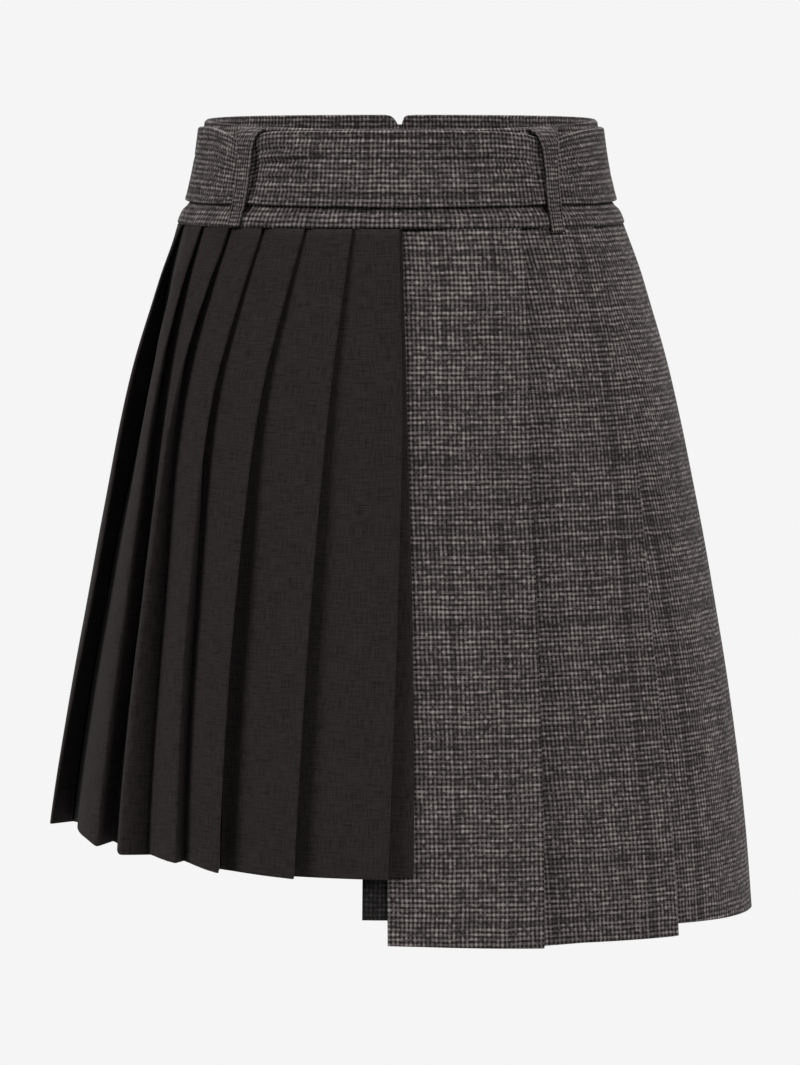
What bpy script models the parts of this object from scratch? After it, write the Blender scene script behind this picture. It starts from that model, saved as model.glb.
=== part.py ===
"""Asymmetric pleated mini skirt, worn hollow on a general figure.

Units: metres. Z is up and 0 at the top of the waistband at the centre back. The front faces -Y,
+X is the side with the wide check pleats. Tables are in centimetres (drops and half-widths),
millimetres (cloth and folds) and degrees round the figure (0 centre front, 90 at +X, 180 back).
"""
import math
from collections import namedtuple

import bmesh
import bpy
from mathutils import Vector

for old in list(bpy.data.objects):
    bpy.data.objects.remove(old, do_unlink=True)

CM = 0.01
MM = 0.001

# ---- named sizes -------------------------------------------------------------------------------
SEAM_GAP = 0.3          # mm between two pieces at a seam
PLEAT_CLOTH = 1.0       # mm wall of the dark pleated cloth
CHECK_CLOTH = 1.2       # mm wall of the wool check
SLIT = 0.36             # mm between two folded layers
EDGE_RUN = 1.7          # mm of flat cloth past a fold before it climbs
SEAM_DROP = 6.50        # cm, waist seam below the top of the waistband
BAND_IN = 0.9           # mm, inner face of the waistband outside the form
BAND_OUT = 3.9          # mm, outer face of the waistband
BELT_IN = 4.25          # mm, inner face of the sash belt
BELT_OUT = 6.6          # mm, outer face of the sash belt
BELT_LAP = 2.9          # mm, the outer belt end stands over the inner end
LOOP_WIDTH = 9.0        # mm
LOOP_WALL = 1.6         # mm, a folded strip
UNDERLAP_HEM = 47.4     # cm, hem drop of the check underlap
DARK_LEVELS = (0.0, 0.06, 0.14, 0.25, 0.40, 0.55, 0.70, 0.85, 1.0)
CHECK_LEVELS = (0.0, 0.05, 0.12, 0.25, 0.40, 0.55, 0.70, 0.85, 1.0)
LEAST_TUCK = 2.5        # mm, a fold tucked less than this stands open
FACE_STEP = 8.5         # degrees between points along a face, at most

# ---- the form under the cloth: half-widths at each drop, cm ---------------------------------------
Form = namedtuple("Form", "drop side front back")
FORM = [
    Form(0.00, 11.65, 8.75, 8.90),
    Form(2.65, 12.02, 9.00, 9.20),
    Form(4.50, 12.42, 9.25, 9.50),
    Form(5.30, 12.68, 9.40, 9.70),
    Form(5.70, 13.08, 9.60, 9.98),
    Form(6.50, 13.42, 9.80, 10.30),
    Form(7.10, 13.65, 9.95, 10.60),
    Form(9.40, 14.50, 10.50, 11.50),
    Form(11.30, 15.08, 10.90, 12.10),
    Form(15.00, 16.17, 11.60, 12.90),
    Form(18.70, 17.05, 12.15, 13.40),
    Form(22.40, 17.82, 12.65, 13.80),
    Form(26.20, 18.57, 13.10, 14.10),
    Form(29.90, 19.22, 13.50, 14.40),
    Form(33.70, 19.87, 13.90, 14.60),
    Form(37.40, 20.42, 14.25, 14.80),
    Form(41.20, 20.92, 14.60, 15.00),
    Form(45.00, 21.32, 14.85, 15.20),
    Form(49.50, 21.68, 15.10, 15.40),
]

# ---- hem drops round the figure, cm -----------------------------------------------------------------
Edge = namedtuple("Edge", "angle drop")
DARK_HEM = [
    Edge(-180, 44.3), Edge(-120, 44.0), Edge(-90, 43.7), Edge(-77, 43.38), Edge(-60, 43.6),
    Edge(-50, 44.25), Edge(-38, 44.4), Edge(-30, 44.72), Edge(-17, 44.85), Edge(5, 44.8),
]
CHECK_HEM = [
    Edge(-10, 48.9), Edge(-2, 48.9), Edge(22.5, 49.15), Edge(30, 49.05), Edge(48.5, 49.1),
    Edge(52, 48.75), Edge(70, 49.0), Edge(90, 49.2), Edge(180, 48.8),
]
LIFT_DARK = [Edge(-180, 0.0), Edge(-40, 0.0), Edge(-14, 1.46), Edge(10, 1.46)]  # mm over the form
LIFT_CHECK = [Edge(-10, 0.0), Edge(180, 0.0)]
BELT_TOP = [
    Edge(0, 0.70), Edge(20, 0.72), Edge(38, 0.88), Edge(45, 1.00), Edge(52, 0.90), Edge(65, 0.75),
    Edge(90, 0.66), Edge(135, 0.62), Edge(210, 0.60),
]
BELT_BOTTOM = [
    Edge(0, 5.25), Edge(38, 5.16), Edge(45, 5.10), Edge(60, 5.18), Edge(90, 5.12), Edge(210, 5.10),
]

# ---- knife pleats at waist, hip, mid and hem: fold-edge angles, tucks, and in mm how far the fold edge
# rises and the fold behind it sinks; a negative tuck leans the return out past its fold edge -------------
PLEAT_LEVELS = (0.0, 0.25, 0.55, 1.0)
Pleat = namedtuple("Pleat", "name angles tucks rises sinks")
DARK_FRONT = [
    Pleat("G", (-80.0, -78.6, -75.0, -76.8), (13.0, 9.0, 11.0, 13.0), (2.72, 5.4, 5.4, 11.2),
          (0.0, -10.0, -8.2, -7.2)),
    Pleat("F", (-62.8, -60.1, -57.1, -55.6), (13.0, 8.0, 0.0, 4.5), (2.72, 7.0, 9.4, 13.4),
          (0.0, -2.4, -3.6, -4.5)),
    Pleat("E", (-49.7, -53.0, -51.5, -50.3), (13.0, 5.0, -4.0, -11.0), (2.72, 5.4, 8.4, 10.2),
          (0.0, -3.0, -5.0, -5.5)),
    Pleat("D", (-38.0, -42.2, -41.0, -38.4), (13.0, 6.0, 1.0, 0.0), (2.72, 4.4, 6.5, 6.8),
          (0.0, -1.0, -2.8, -3.0)),
    Pleat("C", (-25.4, -29.9, -30.4, -29.8), (13.0, 12.0, 8.0, 4.0), (2.72, 4.8, 8.5, 9.5),
          (0.0, -0.9, -2.2, -3.0)),
    Pleat("B", (-12.7, -14.8, -16.1, -17.1), (13.0, 13.0, 12.0, 10.0), (2.72, 4.4, 7.0, 8.5),
          (0.0, -0.4, -0.8, -0.8)),
    Pleat("A", (-0.9, -0.1, -0.8, -2.3), (13.0, 13.0, 12.0, 12.0), (2.72, 3.0, 5.0, 7.0),
          (0.0, 0.0, 0.0, 0.0)),
]
DARK_BACK = [
    Pleat("N", (-168.5, -168.0, -168.0, -167.0), (13.0, 13.0, 12.0, 12.0), (2.72, 3.0, 3.8, 4.5),
          (0.0, 0.0, 0.0, 0.0)),
    Pleat("M", (-156.0, -155.5, -154.0, -153.0), (13.0, 12.0, 10.0, 8.0), (2.72, 3.6, 5.0, 6.0),
          (0.0, -0.3, -0.9, -1.5)),
    Pleat("L", (-143.5, -142.5, -142.0, -143.5), (13.0, 10.0, 6.0, 3.0), (2.72, 4.0, 5.8, 7.0),
          (0.0, -0.8, -2.5, -4.0)),
    Pleat("K", (-131.0, -131.5, -130.0, -129.0), (13.0, 9.0, 3.0, -2.0), (2.72, 4.5, 6.5, 9.0),
          (0.0, -1.5, -3.5, -5.0)),
    Pleat("J", (-118.0, -117.5, -118.5, -119.5), (13.0, 7.0, 4.0, 3.0), (2.72, 5.2, 7.3, 11.0),
          (0.0, -2.0, -4.0, -6.0)),
    Pleat("I", (-104.5, -104.5, -104.0, -103.5), (13.0, 6.0, 4.0, 5.0), (2.72, 5.6, 7.3, 11.0),
          (0.0, -2.6, -4.4, -6.0)),
]
CHECK_FRONT = [
    Pleat("one", (31.4, 26.5, 24.2, 22.5), (30.0, 30.0, 28.0, 26.0), (3.12, 3.3, 3.8, 5.0),
          (0.0, -0.2, -0.7, -2.0)),
    Pleat("two", (57.6, 54.2, 49.6, 48.6), (26.0, 24.0, 20.0, 14.0), (3.12, 3.5, 4.5, 7.0),
          (0.0, -1.1, -3.9, -11.0)),
]
CHECK_BACK = [
    Pleat("three", (110.0, 108.0, 106.0, 104.0), (22.0, 20.0, 18.0, 14.0), (3.12, 3.4, 4.1, 6.0),
          (0.0, -0.8, -2.8, -8.0)),
    Pleat("four", (134.0, 132.0, 131.0, 131.0), (26.0, 26.0, 24.0, 22.0), (3.12, 3.3, 3.8, 5.0),
          (0.0, -0.3, -1.1, -3.0)),
    Pleat("five", (157.0, 156.5, 156.5, 157.0), (26.0, 26.0, 26.0, 26.0), (3.12, 3.2, 3.4, 4.0),
          (0.0, -0.1, -0.4, -1.0)),
]

# ---- belt loops: middle line from the waistband's top over the belt to the waist seam -------------
Run = namedtuple("Run", "drop out")
FRONT_LOOP = [
    Run(0.62, 5.1), Run(0.80, 6.7), Run(1.02, 7.9), Run(1.60, 8.2), Run(3.00, 8.2), Run(4.60, 8.2),
    Run(5.15, 7.9), Run(5.50, 6.2), Run(5.85, 5.15), Run(6.45, 5.2),
]
BACK_LOOP = [
    Run(0.24, 5.1), Run(0.40, 6.7), Run(0.62, 7.9), Run(1.40, 8.2), Run(3.00, 8.2), Run(4.60, 8.2),
    Run(5.15, 7.9), Run(5.50, 6.2), Run(5.85, 5.15), Run(6.45, 5.2),
]
Loop = namedtuple("Loop", "name angle_top angle_foot path foot")
LOOPS = [
    Loop("belt_loop_front_left", -48.7, -46.6, FRONT_LOOP, 6.45),
    Loop("belt_loop_front_right", 43.4, 42.4, FRONT_LOOP, 6.80),
    Loop("belt_loop_back_left", -140.0, -140.0, BACK_LOOP, 6.45),
    Loop("belt_loop_back_right", 140.0, 140.0, BACK_LOOP, 6.45),
]


# ---- tables ---------------------------------------------------------------------------------------
def between(rows, key, value, x):
    """Value of a table's column at x, straight between its rows."""
    for low, high in zip(rows, rows[1:]):
        x0 = getattr(low, key)
        x1 = getattr(high, key)
        if x <= x1:
            share = max(0.0, (x - x0) / (x1 - x0))
            return getattr(low, value) + (getattr(high, value) - getattr(low, value)) * share
    return getattr(rows[-1], value)


def mix(a, b, share):
    return a + (b - a) * share


def form_at(drop):
    """Half-widths of the form in metres at a drop in metres."""
    at = drop / CM
    side = between(FORM, "drop", "side", at) * CM
    front = between(FORM, "drop", "front", at) * CM
    back = between(FORM, "drop", "back", at) * CM
    return side, front, back


def place(angle, drop, out):
    """Point at an angle and drop, out millimetres off the form along its normal."""
    side, front, back = form_at(drop)
    s = math.sin(math.radians(angle))
    c = math.cos(math.radians(angle))
    depth = front if c >= 0 else back
    normal = Vector((s / side, -c / depth)).normalized()
    off = out * MM
    return Vector((side * s + off * normal.x, -depth * c + off * normal.y, -drop))


def degrees_for(run, angle, drop):
    """Degrees that take up run millimetres of the form's round at this angle and drop."""
    side, front, back = form_at(drop)
    s = math.sin(math.radians(angle))
    c = math.cos(math.radians(angle))
    depth = front if c >= 0 else back
    radius = math.hypot(side * c, depth * s)
    return math.degrees(run * MM / radius)


# ---- folded cloth -----------------------------------------------------------------------------------
def smooth(values, share):
    """Smooth curve through a pleat column's values at PLEAT_LEVELS."""
    at = PLEAT_LEVELS
    i = max(k for k in range(len(at) - 1) if share >= at[k])
    span = at[i + 1] - at[i]
    rate = (values[i + 1] - values[i]) / span
    before = (values[i] - values[i - 1]) / (at[i] - at[i - 1]) if i > 0 else rate
    after = (values[i + 2] - values[i + 1]) / (at[i + 2] - at[i + 1]) if i + 2 < len(at) else rate
    low = (rate + before) / 2 * span
    high = (rate + after) / 2 * span
    t = (share - at[i]) / span
    bend = (t ** 3 - 2 * t ** 2 + t) * low + (t ** 3 - t ** 2) * high
    return values[i] + (values[i + 1] - values[i]) * t * t * (3 - 2 * t) + bend


def fold_path(pleats, start, lead, end, share, drop_of, cloth, faces):
    """Middle line of the folded cloth at one level: (angle, out, turn), turn at a fold."""
    layer = cloth + SLIT
    path = list(start)
    at, height = lead
    for pleat in pleats:
        ridge = smooth(pleat.angles, share)
        tuck_run = smooth(pleat.tucks, share)
        drop = drop_of(ridge)
        tuck = degrees_for(tuck_run, ridge, drop)
        over = degrees_for(max(tuck_run, LEAST_TUCK), ridge, drop)
        run = degrees_for(EDGE_RUN, ridge, drop)
        inner = ridge - tuck
        rise = max(2 * layer, smooth(pleat.rises, share))
        sink = smooth(pleat.sinks, share)

        def climb(angle):
            return mix(height, rise, (angle - at) / (ridge - at))

        def clear(angle):
            low = sink + 2 * layer
            return mix(rise, low, (ridge - angle) / over) if tuck_run > LEAST_TUCK else climb(angle)

        lift_on = ridge - over - run
        lift_out = max(climb(lift_on), clear(ridge - over))
        path.extend(stretch(at, height, lift_on, lift_out, faces[0]))
        faces = faces[1:]
        path.append((lift_on, lift_out, 0))
        for share_in in (1.0, 0.5):
            angle = ridge - over * share_in
            path.append((angle, max(climb(angle), clear(angle)), 0))
        path.append((ridge, rise - layer / 2, 1))
        path.append(((ridge + inner) / 2, (rise + sink) / 2, 0))
        path.append((inner, sink + layer / 2, -1))
        leave = max(ridge, inner) + run
        path.append((mix(inner, leave, 0.45), sink, 0))
        path.append((mix(inner, leave, 0.85), sink, 0))
        path.append((leave, sink, 0))
        at = leave
        height = sink
    last_angle, last_out, _ = end[-1]
    path.extend(stretch(at, height, last_angle, last_out, faces[0]))
    path.extend(end)
    return path


def stretch(angle_a, out_a, angle_b, out_b, count):
    """Evenly spaced points of a face between two of its ends."""
    shares = [(i + 1) / (count + 1) for i in range(count)]
    return [(mix(angle_a, angle_b, s), mix(out_a, out_b, s), 0) for s in shares]


def face_counts(pleats, first, last):
    """Points along each face so that none spans more than FACE_STEP degrees."""
    edges = [(first,) * 4] + [p.angles for p in pleats] + [(last,) * 4]
    counts = []
    for low, high in zip(edges, edges[1:]):
        span = max(b - a for a, b in zip(low, high))
        counts.append(max(0, math.ceil(span / FACE_STEP) - 1))
    return counts


def open_folds(points, turns, layer):
    """Each fold becomes two corners a layer apart, across the half-way direction of its turn."""
    out = []
    for i, point in enumerate(points):
        if not turns[i]:
            out.append(point)
            continue
        before = (point - points[i - 1]).xy
        after = (points[i + 1] - point).xy
        a0 = math.atan2(before.y, before.x)
        a1 = math.atan2(after.y, after.x)
        turn = turns[i] * ((turns[i] * (a1 - a0)) % (2 * math.pi))
        half = a0 + turn / 2
        step = Vector((math.cos(half), math.sin(half), 0)) * (layer / 2)
        out.append(point - step)
        out.append(point + step)
    return out


def two_sides(line, wall):
    """Points a half wall to each side of a line, mitred at its corners."""
    left = []
    right = []
    last = len(line) - 1
    for i, point in enumerate(line):
        before = (point - line[i - 1]).xy.normalized() if i > 0 else None
        after = (line[i + 1] - point).xy.normalized() if i < last else None
        one = before if before is not None else after
        two = after if after is not None else before
        n1 = Vector((-one.y, one.x))
        n2 = Vector((-two.y, two.x))
        mitre = (n1 + n2).normalized()
        reach = (wall / 2) / max(0.5, mitre.dot(n1))
        off = Vector((mitre.x, mitre.y, 0)) * reach
        left.append(point + off)
        right.append(point - off)
    return left, right


def add_object(name, mesh_builder, material):
    bm = bmesh.new()
    mesh_builder(bm)
    bmesh.ops.recalc_face_normals(bm, faces=bm.faces[:])
    mesh = bpy.data.meshes.new(name)
    bm.to_mesh(mesh)
    bm.free()
    mesh.materials.append(material)
    piece = bpy.data.objects.new(name, mesh)
    skirt.objects.link(piece)
    return piece


def loft_grid(bm, rings):
    """Closed tube round each ring, lofted ring to ring, with both ends capped."""
    made = [[bm.verts.new(p) for p in ring] for ring in rings]
    count = len(made[0])
    for low, high in zip(made, made[1:]):
        for i in range(count):
            j = (i + 1) % count
            bm.faces.new((low[i], low[j], high[j], high[i]))
    for ring in (made[0], made[-1]):
        half = count // 2
        for i in range(half - 1):
            bm.faces.new((ring[i], ring[i + 1], ring[count - 2 - i], ring[count - 1 - i]))


def folded_panel(name, pleats, levels, ends, hem, lift, cloth, material):
    """A panel of knife pleats: its folded section lofted from the waist seam to the hem."""
    top = (SEAM_DROP * CM) + SEAM_GAP * MM
    faces = face_counts(pleats, ends(1.0)[1][0], ends(1.0)[2][-1][0])
    rings = []
    for share in levels:
        def drop_of(angle):
            return mix(top, between(hem, "angle", "drop", angle) * CM, share)

        start, lead, end = ends(share)
        path = fold_path(pleats, start, lead, end, share, drop_of, cloth, faces)
        points = []
        for angle, out, _ in path:
            points.append(place(angle, drop_of(angle), out + between(lift, "angle", "drop", angle)))
        turns = [turn for _, _, turn in path]
        line = open_folds(points, turns, (cloth + SLIT) * MM)
        left, right = two_sides(line, cloth * MM)
        rings.append(left + right[::-1])
    return add_object(name, lambda bm: loft_grid(bm, rings), material)


# ---- straight bands -----------------------------------------------------------------------------------
def band(name, angles, section, material):
    """A band along the round: section(angle) gives its closed outline as (drop cm, out mm)."""
    rings = []
    for angle in angles:
        turn = angle
        rings.append([place(turn, drop * CM, out) for drop, out in section(angle)])
    return add_object(name, lambda bm: loft_grid(bm, rings), material)


def steps(first, last, step):
    """Angles from first to last with the even steps between them."""
    low = min(first, last)
    high = max(first, last)
    inner = [step * i for i in range(-60, 61) if low + 0.5 < step * i < high - 0.5]
    return [low] + inner + [high]


Notch = namedtuple("Notch", "away drop")
NOTCH_LEFT = [Notch(0.0, 0.80), Notch(0.9, 0.62), Notch(2.0, 0.25), Notch(3.2, 0.06), Notch(5.0, 0.0)]
NOTCH_RIGHT = [Notch(0.0, 0.80), Notch(0.5, 0.40), Notch(1.0, 0.14), Notch(2.0, 0.03), Notch(5.0, 0.0)]


def band_top(angle):
    """Drop of the waistband's top edge: lower at the front, with a V notch at the centre back."""
    drop = 0.65 * ((1 + math.cos(math.radians(angle))) / 2) ** 2
    away = 180 - abs(angle)
    notch = NOTCH_LEFT if angle < 0 else NOTCH_RIGHT
    return drop + (between(notch, "away", "drop", away) if away < 5 else 0.0)


def waistband_section(angle):
    top = band_top(angle)
    drops = [top, top + 0.12, 2.65, 4.5, 5.3, 5.7, 6.5]
    outs = [BAND_OUT - 0.7, BAND_OUT, BAND_OUT, BAND_OUT, BAND_OUT, BAND_OUT, BAND_OUT]
    ins = [BAND_IN + 0.7, BAND_IN, BAND_IN, BAND_IN, BAND_IN, BAND_IN, BAND_IN]
    return list(zip(drops, outs)) + list(zip(drops, ins))[::-1]


def belt_section(angle):
    top = between(BELT_TOP, "angle", "drop", abs(angle))
    foot = between(BELT_BOTTOM, "angle", "drop", abs(angle))
    lap = BELT_LAP * min(1.0, max(0.0, (-angle - 174.0) / 9.0))
    drops = [top, top + 0.22, 2.65, 4.5, foot - 0.2, foot]
    outs = [BELT_OUT - 0.8, BELT_OUT, BELT_OUT, BELT_OUT, BELT_OUT, BELT_OUT - 0.8]
    ins = [BELT_IN, BELT_IN, BELT_IN, BELT_IN, BELT_IN, BELT_IN]
    outer = [(d, o + lap) for d, o in zip(drops, outs)]
    inner = [(d, o + lap) for d, o in zip(drops, ins)]
    return outer + inner[::-1]


def belt_loop(loop, material):
    """A narrow strip that stands over the belt and is sewn at its two ends."""
    rings = []
    path = loop.path[:-1] + [Run(loop.foot, loop.path[-1].out)]
    first = path[0].drop
    last = path[-1].drop
    flat = [Vector((run.drop * 10.0, run.out)) for run in path]
    for i, run in enumerate(path):
        angle = mix(loop.angle_top, loop.angle_foot, (run.drop - first) / (last - first))
        before = (flat[i] - flat[i - 1]).normalized() if i > 0 else None
        after = (flat[i + 1] - flat[i]).normalized() if i < len(flat) - 1 else None
        one = before if before is not None else after
        two = after if after is not None else before
        n1 = Vector((-one.y, one.x))
        n2 = Vector((-two.y, two.x))
        mitre = (n1 + n2).normalized()
        off = mitre * (LOOP_WALL / 2) / max(0.5, mitre.dot(n1))
        wide = degrees_for(LOOP_WIDTH / 2, angle, run.drop * CM)
        ring = []
        for side, sign in ((-1, 1), (1, 1), (1, -1), (-1, -1)):
            drop = run.drop + sign * off.x / 10.0
            ring.append(place(angle + side * wide, drop * CM, run.out + sign * off.y))
        rings.append(ring)
    return add_object(loop.name, lambda bm: loft_grid(bm, rings), material)


def underlap(material):
    """The check layer that shows past the check panel's front fold."""
    angles = [-6.2, -2.0, 2.0, 6.0, 10.0]
    top = SEAM_DROP + SEAM_GAP / 10.0
    out = -(CHECK_CLOTH + SLIT)
    rings = []
    for share in CHECK_LEVELS:
        drop = mix(top, UNDERLAP_HEM, share) * CM
        outer = [place(angle, drop, out + CHECK_CLOTH / 2) for angle in angles]
        inner = [place(angle, drop, out - CHECK_CLOTH / 2) for angle in angles]
        rings.append(outer + inner[::-1])
    return add_object("check_underlap", lambda bm: loft_grid(bm, rings), material)


# ---- materials and collection ---------------------------------------------------------------------------
def cloth_material(name, colour, roughness, sheen):
    made = bpy.data.materials.new(name)
    made.use_nodes = True
    shader = made.node_tree.nodes["Principled BSDF"]
    shader.inputs["Base Color"].default_value = (*colour, 1.0)
    shader.inputs["Roughness"].default_value = roughness
    shader.inputs["Sheen Weight"].default_value = sheen
    return made


skirt = bpy.data.collections.new("asymmetric_pleated_skirt")
bpy.context.scene.collection.children.link(skirt)
check_wool = cloth_material("check_wool", (0.085, 0.078, 0.076), 0.95, 0.25)
pleat_cloth = cloth_material("pleat_cloth", (0.026, 0.022, 0.021), 0.9, 0.15)

# ---- the four panels --------------------------------------------------------------------------------------
DARK_SIDE_OUT = 0.3     # mm, height of the pleated cloth at its side seam
CHECK_SIDE_OUT = 2.2    # mm, height of the check cloth at its side seam
HALF_GAP = 0.07         # degrees, half a seam gap at the waist


def half_gap(share):
    """Degrees of half a seam gap, less towards the hem where the round is wider."""
    return mix(HALF_GAP, HALF_GAP * 0.66, share)


def dark_front_ends(share):
    side = -90.0 + half_gap(share) * 1.4
    levels = [
        Edge(0.0, 0.35), Edge(0.25, 1.2), Edge(0.4, 1.6), Edge(0.55, 2.0), Edge(0.85, 2.2), Edge(1.0, 2.0),
    ]
    edge = between(levels, "angle", "drop", share)
    return [(side, DARK_SIDE_OUT, 0)], (side, DARK_SIDE_OUT), [(edge, 0.0, 0)]


def dark_back_ends(share):
    seam = -180.0 + half_gap(share)
    side = -90.0 - half_gap(share) * 1.4
    return [(seam, 0.0, 0)], (seam, 0.0), [(side, DARK_SIDE_OUT, 0)]


def check_front_ends(share):
    side = 90.0 - half_gap(share) * 1.4
    edge = mix(-3.4, -2.1, share)
    return [(edge, 0.0, 0), (0.4, 0.0, 0), (3.4, 0.0, 0)], (3.4, 0.0), [(side, CHECK_SIDE_OUT, 0)]


def check_back_ends(share):
    side = 90.0 + half_gap(share) * 1.4
    seam = 180.0 - half_gap(share)
    return [(side, CHECK_SIDE_OUT, 0)], (side, CHECK_SIDE_OUT), [(seam, 0.0, 0)]


folded_panel("pleats_front", DARK_FRONT, DARK_LEVELS, dark_front_ends, DARK_HEM, LIFT_DARK,
             PLEAT_CLOTH, pleat_cloth)
folded_panel("pleats_back", DARK_BACK, DARK_LEVELS, dark_back_ends, DARK_HEM, LIFT_DARK,
             PLEAT_CLOTH, pleat_cloth)
folded_panel("check_front", CHECK_FRONT, CHECK_LEVELS, check_front_ends, CHECK_HEM, LIFT_CHECK,
             CHECK_CLOTH, check_wool)
folded_panel("check_back", CHECK_BACK, CHECK_LEVELS, check_back_ends, CHECK_HEM, LIFT_CHECK,
             CHECK_CLOTH, check_wool)
underlap(check_wool)

# ---- waistband, belt and loops ------------------------------------------------------------------------------
NOTCH_ANGLES = (0.5, 0.9, 1.0, 2.0, 3.2)
back_left = [-180.0 + a for a in NOTCH_ANGLES]
back_right = [180.0 - a for a in NOTCH_ANGLES[::-1]]
band("waistband_front_left", steps(-90.0 + 0.1, -HALF_GAP, 6), waistband_section, check_wool)
band("waistband_front_right", steps(HALF_GAP, 90.0 - 0.1, 6), waistband_section, check_wool)
band("waistband_back_left", sorted(set(steps(-180.0 + HALF_GAP, -90.1, 6) + back_left)),
     waistband_section, check_wool)
band("waistband_back_right", sorted(set(steps(90.1, 180.0 - HALF_GAP, 6) + back_right)),
     waistband_section, check_wool)
band("sash_belt", steps(-204.0, 171.0, 6), belt_section, check_wool)
for loop in LOOPS:
    belt_loop(loop, check_wool)
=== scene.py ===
"""Asymmetric pleated mini skirt: knife pleats of slub cloth on one side, wide check pleats on the other."""
import math
from collections import namedtuple

import bmesh
import bpy
import numpy as np
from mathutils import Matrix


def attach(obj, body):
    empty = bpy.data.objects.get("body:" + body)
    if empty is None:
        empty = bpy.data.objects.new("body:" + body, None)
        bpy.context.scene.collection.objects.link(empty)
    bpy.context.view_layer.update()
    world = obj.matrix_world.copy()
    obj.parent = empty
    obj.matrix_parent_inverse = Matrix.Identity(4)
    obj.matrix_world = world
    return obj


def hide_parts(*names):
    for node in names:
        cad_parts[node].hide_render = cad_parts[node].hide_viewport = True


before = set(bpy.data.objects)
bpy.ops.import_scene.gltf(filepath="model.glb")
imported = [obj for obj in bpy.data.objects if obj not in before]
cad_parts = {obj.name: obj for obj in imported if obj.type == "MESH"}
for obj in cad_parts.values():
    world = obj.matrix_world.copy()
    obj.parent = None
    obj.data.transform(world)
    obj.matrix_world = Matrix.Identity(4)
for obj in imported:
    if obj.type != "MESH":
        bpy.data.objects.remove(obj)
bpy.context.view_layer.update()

bl_info = {
    "name": "Asymmetric pleated mini skirt",
    "version": (1, 0, 0),
    "blender": (4, 5, 0),
    "location": "View3D > Sidebar > Skirt",
    "description": "Builds a worn mini skirt of knife pleats and wide check pleats with a sash belt",
    "category": "Object",
}

CM = 0.01
MM = 0.001
GRAIN = "cloth_grain"   # UV map in metres along the cloth

# ---- sizes shared with the solids: cm for drops, mm for cloth, degrees round the figure ----------
SLIT = 0.36             # mm between two folded layers
EDGE_RUN = 1.7          # mm of flat cloth past a fold before it climbs
SEAM_GAP = 0.3          # mm between two pieces at a seam
SEAM_DROP = 6.50        # cm, waist seam below the top of the waistband
SEAM_FOOT = SEAM_DROP + SEAM_GAP / 10  # cm, top of the panels
SEAM_ALLOWANCE = 1.5    # mm that the waistband's inner face turns in over the panels' raw tops
ALLOWANCE_DEEP = 0.35   # cm of the waistband above the seam that turns in
SEAM_DIP = 0.275        # mm that the waistband sinks at a side seam, the front seam and the notch
SEAM_DIP_WIDE = 0.45    # degrees to each side of the seam
BAND_IN = 0.9           # mm, inner face of the waistband outside the form
BAND_OUT = 3.9          # mm, outer face of the waistband
BAND_SINK = 0.65        # cm, the waistband's top lies this much lower at the centre front than at the back
BELT_IN = 4.25          # mm, inner face of the sash belt
BELT_OUT = 7.4          # mm, outer face of the softly puffed sash belt
BELT_ENDS = (-204.0, 171.0)  # degrees, its outer and its inner end
BELT_LAP = 3.5          # mm, the outer belt end stands over the inner end
LAP_START = 174.0       # degrees, past this the outer end climbs
LAP_CLIMB = 9.0         # degrees that it climbs over
BELT_WIDTH = 46.0       # mm, the sash pressed flat
LOOP_WIDTH = 9.0        # mm
LOOP_WALL = 1.6         # mm, a folded strip
LOOP_FLARE = 8.0        # mm that a belt loop spreads at its top, on the side towards the centre front
LOOP_FLARE_OUT = 1.5    # mm that it spreads on its other side
FLARE_FADE = 0.12       # share of its length over which the spread fades
LOOP_GRAIN = 1.625      # the check across a loop's strip is this much finer, with a pale yarn on both edges
LOOP_GRAIN_DOWN = 1.15  # and this much finer down it
GROOVE_IN = 3.1         # mm from a loop's middle to each pressed groove
GROOVE_DIP = 0.6        # mm that a groove sinks into the loop
GROOVE_WIDE = 0.4       # mm
STITCH_IN = 3.95        # mm from a loop's middle to each stitch line
STITCH_LIFT = 0.82      # mm from a loop's middle layer up to the thread
UNDERLAP_HEM = 47.4     # cm, hem drop of the check underlap
UNDERLAP_OUT = -1.56    # mm, its middle line under the check front panel
CHECK_FREE_EDGE = (-3.4, -2.1)  # degrees, of the check front panel at the waist and at the hem
FRONT_FLAT = 3.4        # degrees; that panel lies flat from its free edge to here
LEAST_TUCK = 2.5        # mm, a fold tucked less than this stands open
CLOSING_TUCK = 1.5      # mm more at which it is closed
DARK_SIDE_OUT = 0.3     # mm, height of the pleated cloth at its side seam
CHECK_SIDE_OUT = 2.2    # mm, height of the check cloth at its side seam
SEAM_TOUCH = 0.006      # degrees, half a closed seam
CREASE_START = 3.0      # cm below the waist seam over which a panel's creases begin
FACE_SHIFT = 0.061      # m of grain from one pleat's face to the next
FALL_GRAIN = 1.02       # the grain down a panel runs this much faster than its drop

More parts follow.
